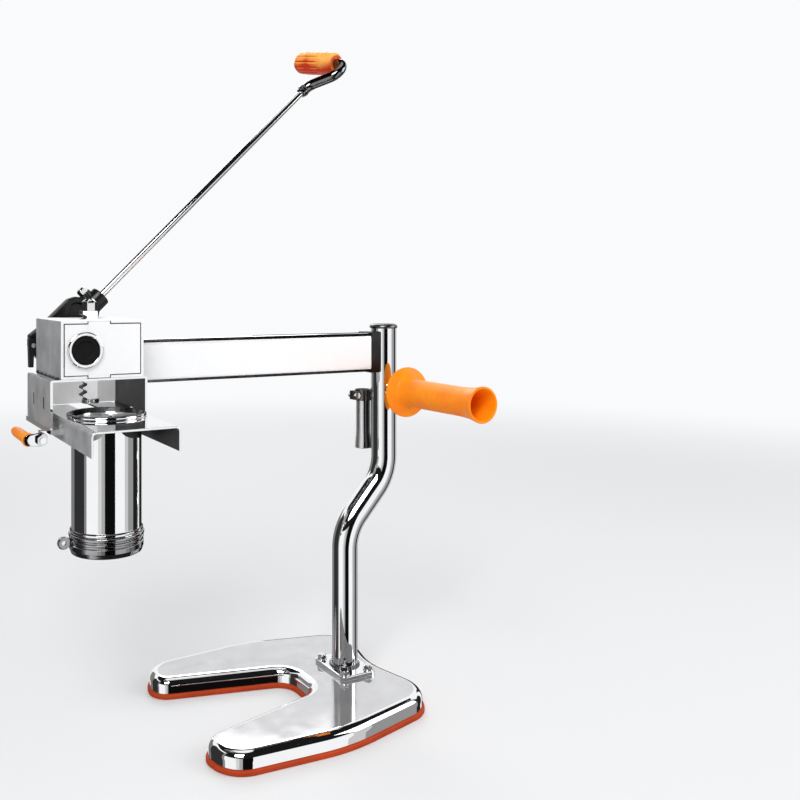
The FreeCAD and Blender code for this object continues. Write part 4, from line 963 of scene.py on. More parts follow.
class Finish(Enum):
    """Every finish of the press, with its recipe."""

    MIRROR = Steel("mirror_tube")
    SHEET = Steel("mirror_sheet", ripple=0.05, ripple_size=0.07)
    BRUSHED = Steel(
        "brushed_sheet", (0.62, 0.622, 0.625), 0.6, (0.34, 0.5), Grain.ALONG_Z, 0.005, metallic=0.5
    )
    SATIN = Steel("satin_sheet", roughness=(0.34, 0.44), ripple=0.0)
    PLATE = Steel("base_steel", (0.7, 0.7, 0.705), 0.9, (0.05, 0.12), metallic=0.7)
    PALE = Steel("pale_sheet", (0.96, 0.96, 0.965), roughness=(0.3, 0.4), metallic=0.3)
    # A pale sheet with a painted glow, which brightens the bracket's back panel and the rack's front face.
    PANEL = Steel("painted_glow_sheet", (0.96, 0.96, 0.965), roughness=(0.3, 0.4), metallic=0.2, glow=0.3)
    SHADOW = Steel("shadow_sheet", (0.05, 0.05, 0.052), 0.5, (0.3, 0.45))
    TURNED = Steel("turned_steel", (0.8, 0.81, 0.82), roughness=(0.1, 0.2), grain_depth=0.003)
    # Chrome painted dark to stand for the dark reflections it shows: the dome, the arm's corners, the
    # barrel's top and the holder.
    PAINTED_DARK_REFLECTION = Steel("painted_dark_reflection_steel", (0.2, 0.2, 0.205), 0.55, (0.16, 0.3))
    # Chrome painted dark to stand for the bent end's dark reflections; the lamps still give it bright glints.
    PAINTED_DARK_CHROME = Steel("painted_dark_reflection_chrome", (0.22, 0.22, 0.225), 0.8, (0.03, 0.08))
    RING = Steel("ring_steel", (0.5, 0.5, 0.51), 0.6, (0.08, 0.2))
    PLATED = Steel("plated_fasteners", (0.82, 0.83, 0.84), roughness=(0.06, 0.14))
    WELD = Steel("weld_bead", (0.3, 0.3, 0.31), 0.5, (0.18, 0.4), ripple=0.25, ripple_size=0.002)
    ENAMEL = Enamel("black_enamel")
    ORANGE = Moulded("orange_grip", (1.0, 0.31, 0.005), (0.96, 0.2, 0.003), glow=0.12)
    # The crank grip: a strong lift paints a peach, lit top and a deep red, shaded underside.
    TOP_LIT_ORANGE = Moulded("top_lit_orange_crank_grip", (1.0, 0.45, 0.09), (0.56, 0.035, 0.002), glow=0.08, lift=0.5)
    SOLE = Moulded("orange_sole", (0.5, 0.055, 0.008), (0.36, 0.036, 0.006), (0.5, 0.65), 0.06, 0.0012)
    PLUG = Moulded("black_plug", (0.004, 0.004, 0.0045), (0.002, 0.002, 0.0022), (0.45, 0.6))
    SEAL = Moulded("dark_seal", (0.05, 0.05, 0.055), (0.035, 0.035, 0.04), (0.5, 0.7))

    @cached_property
    def material(self) -> bpy.types.Material:
        """The finish's material, made when it is first asked for."""
        return self.value.material()


Kept = tuple[tuple[Finish, tuple[str, ...]], ...]


def channel_walls() -> list[Facing]:
    """Returns a folded channel's finishes: brushed sides, and painted shadow on the right wall's inner face.
    """
    inner = Facing(-X, Finish.SHADOW, beyond=CHANNEL_MIDDLE)
    return [Facing(-X, Finish.BRUSHED), Facing(X, Finish.BRUSHED), inner]


@dataclass
class SubAssembly:
    """A group of pieces that makes its own meshes and dresses the CAD nodes that it keeps."""

    kept: Kept = ()

    def build(self) -> None:
        """Makes the group's pieces."""
        raise NotImplementedError

    def dress(self, frame: dict[str, Any]) -> None:
        """Gives each kept CAD node its finish.

        Args:
            frame: the loaded frame.
        """
        for finish, names in self.kept:
            for name in names:
                for place in frame["nodes"][name].material_slots:
                    place.material = finish.material
                LOG.info("%s keeps its own mesh in %s", name, finish.material.name)


# ---- Stand --------------------------------------------------------------------------------
@dataclass
class Stand(SubAssembly):
    """The horseshoe base on its rubber sole, and the bent post with its foot plate and dome."""

    kept: Kept = ((Finish.PLATED, ("flange_nuts",)),)
    waist: Corner = (40.0, 0.0, 90.0)
    half_plan: Outline = (
        (66.0, 97.0, 42.0),
        (-75.0, 131.0, 220.0),
        (-213.0, 122.0, 36.0),
        (-223.0, 70.0, 22.0),
        (-60.0, 31.0, 27.0),
    )
    sole_height: float = 5.5
    sole_outset: float = 2.5
    sole_edges: Span = (0.8, 2.0)
    top: float = 23.0
    pan_edges: Span = (0.6, 10.0)
    wall: float = 6.0
    foot_half: Span = (24.0, 33.5)
    foot_thickness: float = 5.0
    foot_corner: float = 6.0
    foot_edges: Span = (0.2, 1.4)
    bead_radius: float = 2.2
    bead_pitch: float = 3.4
    bead_centre: Span = (0.6, 0.4)
    bolt_half: Span = (17.0, 25.5)
    washer: Outline = ((3.0, 0.0, 0.0), (6.5, 0.0, 0.4), (6.5, 1.2, 0.4), (3.0, 1.2, 0.0))
    bolt_flats: float = 10.0
    bolt_height: float = 4.3
    post_top: float = 439.0
    dome: Outline = ((0.0, 5.5, 0.0), (17.4, 5.5, 4.0), (17.4, 0.1, 1.2), (0.0, 0.1, 0.0))
    bend_start: float = 170.0
    bend_angle: float = math.radians(42.0)
    bend_radius: float = 60.0

    @property
    def foot_top(self) -> float:
        """The height of the foot plate's upper face."""
        return self.top + self.foot_thickness

    def plan(self) -> Points:
        """Returns the horseshoe's outline, mirrored across the X axis and rounded at every corner."""
        mirrored = [(x, -y, radius) for x, y, radius in reversed(self.half_plan)]
        return outline((self.waist, *self.half_plan, *mirrored), steps=20)

    def build_base(self) -> None:
        """Makes the hollow pan with its rolled upper edge, and the sole under it."""
        rolled = rolled_edge(self.sole_height, self.top, *self.pan_edges, steps=12)
        inside = [(self.wall, self.top - self.wall), (self.wall, self.sole_height)]
        Shell().slab(self.plan(), np.vstack([inside, rolled])).piece(
            "base_pan", "frame", "polished_plate", Finish.SHEET, "base_plate",
            crease=50, facings=[Facing(Z, Finish.PLATE, least=FLAT_FACE)],
        )
        sole = rolled_edge(0.0, self.sole_height, *self.sole_edges, steps=6) - vec(self.sole_outset, 0.0)
        Shell().slab(self.plan(), sole).piece(
            "rubber_sole", "frame", "pad_rubber", Finish.SOLE, "base_pad", crease=50
        )

    def build_foot(self) -> None:
        """Makes the foot plate and the weld that joins the post to it."""
        half_x, half_y = self.foot_half
        corners = [(-half_x, -half_y), (half_x, -half_y), (half_x, half_y), (-half_x, half_y)]
        loop = rounded(corners, [self.foot_corner] * 4, closed=True, steps=8)
        Shell().slab(loop, rolled_edge(self.top, self.foot_top, *self.foot_edges)).piece(
            "foot_plate", "frame", "polished_plate", Finish.SHEET, "post_flange"
        )
        outset, lift = self.bead_centre
        seam = LEVEL.at(circle(POST_RADIUS + outset, 120), self.foot_top + lift)
        Shell().weld_bead(seam, self.bead_radius, self.bead_pitch, closed=True).piece(
            "foot_weld", "frame", "polished_plate", Finish.WELD
        )

    def build_bolts(self) -> None:
        """Makes the four hexagon bolts on their washers, as one piece."""
        bolts = Shell()
        washer = outline(self.washer, steps=3)
        half_x, half_y = self.bolt_half
        for x in (-half_x, half_x):
            for y in (-half_y, half_y):
                seat = Seat(vec(x, y, self.foot_top), X, Y, Z)
                crown = Seat(seat.origin + self.washer[-1][1] * Z, X, Y, Z)
                bolts.turned(washer, seat, segments=48)
                bolts.hexagon(crown, self.bolt_flats, self.bolt_height)
        bolts.piece("foot_bolts", "frame", "fasteners", Finish.PLATED, "flange_bolts")

    def path(self) -> Points:
        """Returns the post's centre line: two upright runs joined by a slanting one.

        The slanting run rises the offset over the tangent of the bend's angle.

        Returns:
            The points of the line.
        """
        low = self.bend_start + self.bend_radius * math.tan(self.bend_angle / 2.0)
        high = low + POST_X / math.tan(self.bend_angle)
        runs = [(0.0, self.foot_top), (0.0, low), (POST_X, high), (POST_X, self.post_top)]
        corners = [(x, 0.0, z) for x, z in runs]
        return rounded(corners, [0.0, self.bend_radius, self.bend_radius, 0.0], steps=28)

    def build_post(self) -> None:
        """Makes the bent tube and the dome that closes it."""
        Shell().swept(circle(POST_RADIUS, 72), self.path(), Y).piece(
            "post_pipe", "frame", "polished_tube", Finish.MIRROR, "post_tube", crease=50
        )
        dome = outline([(r, self.post_top + z, arc) for r, z, arc in self.dome], closed=False, steps=10)
        # The dome is painted dark to stand for the dark reflections on it.
        Shell().turned(dome, seat_along(vec(POST_X, 0.0, 0.0), Z), segments=72, closed=False).piece(
            "post_dome", "frame", "polished_tube", Finish.PAINTED_DARK_REFLECTION, "post_cap", crease=50
        )

    def build(self) -> None:
        """Makes every piece of the stand."""
        self.build_base()
        self.build_foot()
        self.build_post()
        self.build_bolts()


# ---- Arm and press head -------------------------------------------------------------------
@dataclass
class Arm(SubAssembly):
    """The rounded rectangular arm and the saddle that joins it to the post."""

    right: float = 30.0
    half_width: float = 14.0
    bottom: float = 386.0
    top: float = 434.0
    corner: float = 7.0
    notch: float = 0.02
    saddle_half: float = 14.2
    saddle_nose: float = 9.9
    saddle_shoulder: float = 42.3
    saddle_over: float = 1.0
    saddle_edge: float = 0.8

    def build(self) -> None:
        """Makes the arm and its saddle."""
        self.build_box()
        self.build_saddle()

    def build_box(self) -> None:
        """Makes the arm's box, notched where the tray bracket stands out under the housing."""
        half, low, high = self.half_width, HEAD_FLOOR - self.notch, HEAD_FLOOR + self.notch
        corners = [(-half, self.bottom, self.corner), (half, self.bottom, self.corner), (half, low, 0.0)]
        corners += [(half, high, 0.0), (half, self.top, self.corner), (-half, self.top, self.corner)]
        corners += [(-half, high, 0.0), (-half, low, 0.0)]
        section = outline(corners, steps=10)
        start = np.where(section[:, 1] < HEAD_FLOOR, BRACKET_END, HEAD_END)
        along = start + np.linspace(0.0, 1.0, 3)[:, None] * (self.right - start)
        rings = np.stack([along, *np.broadcast_to(section.T[:, None], (2, *along.shape))], axis=-1)
        sides = [Facing(side * Z, Finish.SHEET, least=0.95) for side in (-1.0, 1.0)]
        sides += [Facing(side * Y, Finish.PALE, least=0.9) for side in (-1.0, 1.0)]
        # The rounded corners and ends keep a finish painted dark as dark reflection; the flat sides stay
        # bright.
        Shell().grid(rings, wrap_cols=True).cap(rings[0]).cap(rings[-1]).piece(
            "arm_box", "frame", "polished_tube", Finish.PAINTED_DARK_REFLECTION, "arm_tube", crease=50, facings=sides
        )

    def build_saddle(self) -> None:
        """Makes the end block: a slab whose nose is hollowed to the post's round."""
        reach, shoulder = self.saddle_half, self.saddle_shoulder
        t = np.linspace(1.0, -1.0, 17)[:, None] * math.asin(self.saddle_nose / POST_RADIUS)
        hollow = np.hstack([POST_X - POST_RADIUS * np.cos(t), -POST_RADIUS * np.sin(t)])
        before = [(self.right, -reach), (shoulder, -reach)]
        after = [(shoulder, reach), (self.right, reach)]
        low, high = self.bottom - self.saddle_over, self.top + self.saddle_over
        side = rolled_edge(low, high, self.saddle_edge, self.saddle_edge)
        Shell().slab(np.vstack([before, hollow, after]), side).piece(
            "arm_end_block", "frame", "polished_plate", Finish.SHADOW, "arm_saddle", bevel=0.5
        )


@dataclass
class PressHead(SubAssembly):
    """The folded housing of the rack drive with its end plates, front bush and plug."""

    kept: Kept = ((Finish.TURNED, ("rear_bearing", "rack_guide")),)
    left: float = -365.0
    half_depth: float = 53.5
    top: float = 456.5
    wall: float = 3.0
    fold: float = 1.5
    inner_fold: float = 0.3
    tab: Span = (-338.0, -314.0)
    way_cells: tuple[Cells, ...] = ((6, 8), (19, 21))
    tab_cells: tuple[Cells, ...] = ((5, 7), (20, 22))
    plate_gap: float = 0.9
    plate_recess: float = 0.05
    bush_bore: float = 16.0
    bush: Outline = (
        (14.4, -3.0, 0.0), (14.4, 3.5, 0.6), (18.5, 3.5, 1.6), (18.5, 0.0, 0.0),
        (16.0, 0.0, 0.0), (16.0, -16.0, 0.0), (6.1, -16.0, 0.0), (6.1, -3.0, 0.0),
    )
    plug: Outline = (
        (0.0, 0.7, 0.0), (8.2, 0.7, 0.6), (9.2, 1.8, 0.6), (12.6, 1.8, 1.2),
        (14.3, 0.9, 0.3), (14.3, -2.9, 0.3), (0.0, -2.9, 0.0),
    )
    bead_starts: tuple[float, ...] = (-46.0, -31.0, -15.0, 2.0, 20.0, 38.0)
    bead_length: float = 9.0
    bead_radius: float = 1.5
    bead_pitch: float = 2.2
    bead_offset: Span = (0.2, 0.6)

    def section(self, offset: float) -> Points:
        """Returns the sleeve's section, with points at its ways and tabs.

        Args:
            offset: how far it is moved inwards.

        Returns:
            The section: five points at each fold and four between the folds of floor and roof.
        """
        x0, x1 = self.left + offset, HEAD_END - offset
        z0, z1 = HEAD_FLOOR + offset, self.top - offset
        fold = self.fold if offset == 0.0 else self.inner_fold
        middle = sorted((*RACK_WAY, *self.tab))
        floor = [(x0, z0, fold), *[(x, z0, 0.0) for x in middle], (x1, z0, fold)]
        roof = [(x1, z1, fold), *[(x, z1, 0.0) for x in reversed(middle)], (x0, z1, fold)]
        return outline(floor + roof, steps=4)

    def build_sleeve(self) -> None:
        """Makes the sleeve, with the rack's way through its floor and roof and the tabs' notches."""
        half, way = self.half_depth, RACK_WAY_HALF
        stations = vec(-half, self.wall - half, -way, way, half - self.wall, half)
        surfaces = [extruded(self.section(offset), stations) for offset in (0.0, self.wall)]
        openings = [Opening(rows, (2, 3)) for rows in self.way_cells]
        openings += [Opening(rows, cols, ends=True) for rows in self.tab_cells for cols in ((0, 1), (4, 5))]
        Shell().sheet(*surfaces, ring=True, openings=openings).piece(
            "housing_sleeve", "frame", "polished_plate", Finish.PALE, "housing_shell",
            bevel=0.7, facings=[Facing(-X, Finish.BRUSHED), Facing(X, Finish.BRUSHED)],
        )

    def build_plates(self) -> None:
        """Makes the two end plates, each with a tab above and below."""
        x0, x1 = self.left + self.wall, HEAD_END - self.wall
        z0, z1 = HEAD_FLOOR + self.wall, self.top - self.wall
        t0, t1 = self.tab
        lower = [(x0, z0), (t0, z0), (t0, HEAD_FLOOR), (t1, HEAD_FLOOR), (t1, z0), (x1, z0)]
        upper = [(x1, z1), (t1, z1), (t1, self.top), (t0, self.top), (t0, z1), (x0, z1)]
        loop = np.array(lower + upper)
        for side, name, node in ((-1.0, "front_plate", "housing_front"), (1.0, "rear_plate", "housing_back")):
            faces = sorted(side * (self.half_depth - depth) for depth in (self.plate_recess, self.wall))
            rows = np.array([(self.plate_gap, height) for height in faces])
            # The plates' edges take the dark seal finish as painted shade along the seams.
            Shell().pierced(loop, rows, (SHAFT_X, SHAFT_Z), self.bush_bore, UPRIGHT, rows=2).piece(
                name, "frame", "polished_plate", Finish.SEAL, node,
                bevel=0.5, facings=[Facing(side * Y, Finish.PALE)],
            )

    def build_bush(self) -> None:
        """Makes the front bush with its bright ring and the dished black plug inside it."""
        seat = seat_along(vec(SHAFT_X, -self.half_depth, SHAFT_Z), -Y)
        Shell().turned(outline(self.bush), seat).piece(
            "front_bush", "frame", "turned_steel", Finish.MIRROR, "front_bearing"
        )
        Shell().turned(outline(self.plug, closed=False), seat, closed=False).piece(
            "bush_plug", "frame", "black_plug", Finish.PLUG, "front_plug"
        )

    def build_welds(self) -> None:
        """Makes the short weld beads along the foot of the housing's left wall."""
        x, z = self.left - self.bead_offset[0], HEAD_FLOOR + self.bead_offset[1]
        for i, y in enumerate(self.bead_starts):
            seam = np.linspace((x, y, z), (x, y + self.bead_length, z), 40)
            Shell().weld_bead(seam, self.bead_radius, self.bead_pitch).piece(
                f"head_weld_{i + 1}", "frame", "polished_plate", Finish.WELD
            )

    def build(self) -> None:
        """Makes every piece of the press head."""
        self.build_sleeve()
        self.build_plates()
        self.build_bush()
        self.build_welds()


@dataclass
class Drive(SubAssembly):
    """The toothed rack with its bolt and foot."""

    kept: Kept = (
        (Finish.PLATED, ("foot_screw", "lever_washer", "lever_nut")),
        (Finish.TURNED, ("pinion_shaft", "pinion_gear", "ratchet_wheel")),
    )
    pitch_x: float = -328.1
    back_x: float = -314.0
    half_depth: float = 8.0
    bottom: float = 372.0
    top: float = 465.0
    end_margin: float = 0.2
    module: float = 2.5
    addendum: float = 2.0
    dedendum: float = 2.6
    teeth: int = 12
    shaft_tooth: float = 6.5
    pressure: float = math.radians(25.0)
    backlash: float = 0.25
    bolt_x: float = -321.0
    bolt_flats: float = 14.0
    bolt_height: float = 12.5
    foot_x: float = -320.0
    foot: Outline = (
        (0.0, 0.0, 0.0), (9.5, 0.0, 1.2), (9.5, 5.0, 1.2), (5.5, 5.0, 0.2), (5.5, 2.5, 0.0), (0.0, 2.5, 0.0)
    )

    def tooth_line(self) -> Points:
        """Works out the rack's outline: straight flanks between tips and roots, and a plain back.

        A tooth's half width is a quarter of the pitch, less its share of the backlash, at the pitch
        line; it changes by the tangent of the pressure angle times the distance from that line.

        Returns:
            The closed outline.
        """
        pitch = math.pi * self.module
        tip, root = self.pitch_x - self.addendum, self.pitch_x + self.dedendum
        half = (pitch / 2.0 - self.backlash) / 2.0
        half_tip = half - self.addendum * math.tan(self.pressure)
        half_root = half + self.dedendum * math.tan(self.pressure)
        centre = SHAFT_Z + pitch * (np.arange(self.teeth) - self.shaft_tooth)
        heights = centre[:, None] + vec(-half_root, -half_tip, half_tip, half_root)
        depths = np.broadcast_to(vec(root, tip, tip, root), heights.shape)
        line = np.column_stack([depths.ravel(), heights.ravel()])
        above, below = self.bottom + self.end_margin, self.top - self.end_margin
        line = line[(line[:, 1] > above) & (line[:, 1] < below)]
        back = [(self.back_x, self.top), (self.back_x, self.bottom)]
        return np.vstack([line, [(line[-1, 0], self.top), *back, (line[0, 0], self.bottom)]])

    def build(self) -> None:
        """Makes the rack, its stop bolt and its foot."""
        rows = np.array([(0.0, -self.half_depth), (0.0, self.half_depth)])
        # The rack is painted dark as shadow, with a painted glow on its front face.
        Shell().slab(self.tooth_line(), rows, UPRIGHT).piece(
            "toothed_rack", "rack", "turned_steel", Finish.SHADOW, "rack_bar",
            bevel=0.8, facings=[Facing(-Y, Finish.PANEL, least=0.9)],
        )
        bolt = Seat(vec(self.bolt_x, 0.0, self.top), X, Y, Z)
        Shell().hexagon(bolt, self.bolt_flats, self.bolt_height).piece(
            "stop_bolt_head", "rack", "fasteners", Finish.PLATED, "rack_stop_bolt"
        )
        seat = seat_along(vec(self.foot_x, 0.0, self.bottom), -Z)
        Shell().turned(outline(self.foot, closed=False), seat, closed=False).piece(
            "rack_foot", "rack", "turned_steel", Finish.TURNED, "pressure_foot"
        )


# ---- Crank lever --------------------------------------------------------------------------
@dataclass
class CrankLever(SubAssembly):
    """The cast lever head, the thin rod, the thick bent end and the turning grip."""

    kept: Kept = ((Finish.ENAMEL, ("pawl",)), (Finish.TURNED, ("pawl_pin",)))
    hub: Corner = (SHAFT_X, 74.0, SHAFT_Z)
    angle: float = math.radians(44.4)
    twist: float = math.radians(17.0)
    hub_radius: float = 25.5
    hub_arc: Span = (163.0, 272.0)
    half_thickness: float = 6.0
    edge: float = 1.6
    casting: Outline = (
        (57.0, -14.2, 5.0), (66.0, -8.0, 2.0), (66.0, 12.5, 2.0), (57.6, 15.5, 2.0), (54.0, 20.8, 5.0),
        (46.0, 24.9, 8.0), (0.0, 25.2, 0.0), (-14.0, 27.0, 4.0), (-25.6, 9.6, 4.0),
    )
    pocket: Outline = (
        (32.0, 16.0, 3.5), (45.0, 18.0, 3.5), (53.0, 13.0, 3.5), (50.0, -8.0, 3.5), (36.0, -12.0, 3.5)
    )
    pocket_middle: Span = (43.0, 3.0)
    pocket_depths: Span = (0.5, 4.0)
    pocket_draft: float = 1.6
    pocket_edge: float = 0.4
    web_share: float = 0.6
    socket: Outline = (
        (0.0, 52.0, 0.0), (11.8, 52.0, 3.5), (11.8, 77.5, 2.0),
        (4.05, 77.5, 0.3), (4.05, 60.0, 0.0), (0.0, 60.0, 0.0),
    )
    boss_run: float = 64.0
    boss_top: float = 16.0
    boss: Outline = ((0.0, 2.0, 0.0), (7.5, 2.0, 0.0), (7.5, 16.0, 1.0), (0.0, 16.0, 0.0))
    bolt_flats: float = 10.0
    bolt_height: float = 7.0
    rod: Outline = ((0.0, 56.0, 0.0), (4.0, 56.0, 0.0), (4.0, 456.0, 0.0), (0.0, 456.0, 0.0))
    neck_radius: float = 6.5
    neck: Outline = ((452.0, 0.0, 0.0), (465.0, 0.0, 20.0), (512.5, -62.3, 16.0), (512.5, -12.0, 0.0))
    ferrule: tuple[Span, ...] = (
        (0.0, 449.0), (5.0, 449.0), (6.4, 450.0), (6.4, 451.4), (5.4, 452.0), (5.4, 452.8), (7.5, 453.6),
        (7.5, 455.6), (6.5, 456.3), (7.2, 457.1), (7.2, 458.2), (6.2, 459.0), (0.0, 459.0),
    )
    spindle: tuple[Span, ...] = ((0.0, -12.0), (4.0, -12.0), (4.0, 58.0), (0.0, 58.0))
    grip: Outline = (
        (4.05, -11.7, 0.0), (11.2, -11.7, 1.5), (14.2, -8.5, 2.5), (14.6, 2.0, 6.0), (15.0, 8.0, 20.0),
        (15.0, 40.0, 30.0), (14.2, 56.0, 6.0), (10.5, 62.0, 2.0), (6.0, 62.0, 0.5), (6.0, 55.5, 0.0),
        (4.05, 55.5, 0.0),
    )
    flutes: Relief = grooves(12, 1.0, 11.0, 58.0)
    screw: Outline = ((0.0, 60.0, 0.0), (5.5, 60.0, 1.2), (5.5, 58.0, 0.0), (0.0, 58.0, 0.0))

    @property
    def along(self) -> Points:
        """The rod's direction."""
        return math.cos(self.angle) * X + math.sin(self.angle) * Z

    @property
    def across(self) -> Points:
        """The direction across the rod in the lever's own plane."""
        return math.cos(self.angle) * Z - math.sin(self.angle) * X

    @property
    def grip_axis(self) -> Points:
        """The grip's turning axis."""
        return math.cos(self.twist) * Y + math.sin(self.twist) * self.across

    @property
    def rod_seat(self) -> Seat:
        """The seat at the hub that rises along the rod."""
        return seat_along(vec(*self.hub), self.along)

    @property
    def grip_seat(self) -> Seat:
        """The seat in the bent end that rises along the grip."""
        return seat_along(self.point(self.neck[-1][0]), self.grip_axis)

    def point(self, run: float, out: float = 0.0) -> Points:
        """Returns a point in the bent end's plane, run along the rod and out along the grip."""
        return vec(*self.hub) + run * self.along + out * self.grip_axis

    def pocket_rim(self, spoke: Points) -> Points:
        """Works out how far the pocket's rim is from its middle.

        The rim is its rounded outline's distance from the middle as a function of the direction,
        read at the directions asked for.

        Args:
            spoke: unit directions from the pocket's middle.

        Returns:
            The distance in each direction, as a column.
        """
        rim = outline(self.pocket, steps=10) - vec(*self.pocket_middle)
        direction = np.arctan2(rim[:, 1], rim[:, 0])
        order = np.argsort(direction)
        length = np.linalg.norm(rim, axis=1)[order]
        asked = np.arctan2(spoke[:, 1], spoke[:, 0])
        return np.interp(asked, direction[order], length, period=2.0 * math.pi)[:, None]

    def build_head(self) -> None:
        """Makes the casting: a hub and web with a sunk pocket, the rod's socket and the bolt's boss."""
        seat = Seat(vec(*self.hub) - self.half_thickness * Y, self.along, self.across, Y)
        t = np.radians(np.linspace(*self.hub_arc, 40))
        hub = self.hub_radius * np.column_stack([np.cos(t), np.sin(t), np.zeros(len(t))])
        loop = outline([*self.casting, *hub], steps=8)
        side = rolled_edge(0.0, 2.0 * self.half_thickness, self.edge, self.edge)
        ring = inset_loop(loop, side[0, 0])
        middle = vec(*self.pocket_middle)
        spoke = unit(ring - middle)
        reach = self.pocket_rim(spoke)
        pocket = middle + spoke * reach
        floor = middle + spoke * (reach - self.pocket_draft)
        web = ring + self.web_share * (pocket - ring)
        rims = [ring, web, pocket + self.pocket_edge * spoke, pocket, floor]
        heights = (0.0, 0.0, 0.0, *self.pocket_depths)
        front = np.stack([seat.at(rim, height) for rim, height in zip(rims, heights)])
        back = seat.at(inset_loop(loop, side[-1, 0]), side[-1, 1])
        shell = Shell().slab(loop, side, seat, caps=False).cap(back)
        shell.grid(front, wrap_cols=True).cap(front[-1])
        shell.turned(outline(self.socket, closed=False), self.rod_seat, segments=64, closed=False)
        boss = seat_along(self.point(self.boss_run), self.across)
        shell.turned(outline(self.boss, closed=False), boss, segments=48, closed=False)
        shell.piece("lever_casting", "lever", "black_casting", Finish.ENAMEL, "lever_head", crease=45)
        bolt = Seat(self.point(self.boss_run) + self.boss_top * self.across, self.along, Y, self.across)
        Shell().hexagon(bolt, self.bolt_flats, self.bolt_height).piece(
            "clamp_bolt_head", "lever", "fasteners", Finish.PLATED, "clamp_bolt"
        )

    def build_rod(self) -> None:
        """Makes the rod, and the bent end with the ridged ferrule and the grip's spindle."""
        Shell().turned(outline(self.rod, closed=False), self.rod_seat, segments=40, closed=False).piece(
            "thin_rod", "lever", "polished_tube", Finish.MIRROR, "lever_rod", crease=50
        )
        run = [self.point(along, out) for along, out, _ in self.neck]
        path = rounded(run, [arc for _, _, arc in self.neck], steps=16)
        shell = Shell().swept(circle(self.neck_radius, 48), path, np.cross(self.grip_axis, self.along))
        shell.turned(np.array(self.ferrule), self.rod_seat, segments=48, closed=False)
        shell.turned(np.array(self.spindle), self.grip_seat, segments=32, closed=False)
        shell.piece("bent_end", "lever", "polished_tube", Finish.PAINTED_DARK_CHROME, "crank_neck", crease=40)

    def build_grip(self) -> None:
        """Makes the fluted grip with its smooth collar, and the domed screw in its end."""
        profile = outline(self.grip, steps=7)
        fine = resampled(np.vstack([profile, profile[:1]]), spacing=1.6)
        Shell().turned(fine, self.grip_seat, segments=160, relief=self.flutes).piece(
            "fluted_grip", "crank_handle", "orange_grip", Finish.TOP_LIT_ORANGE, "crank_grip", crease=45
        )
        Shell().turned(outline(self.screw, closed=False), self.grip_seat, segments=40, closed=False).piece(
            "grip_screw_head", "lever", "fasteners", Finish.PLATED, "grip_screw"
        )

    def build(self) -> None:
        """Makes every piece of the lever."""
        self.build_head()
        self.build_rod()
        self.build_grip()


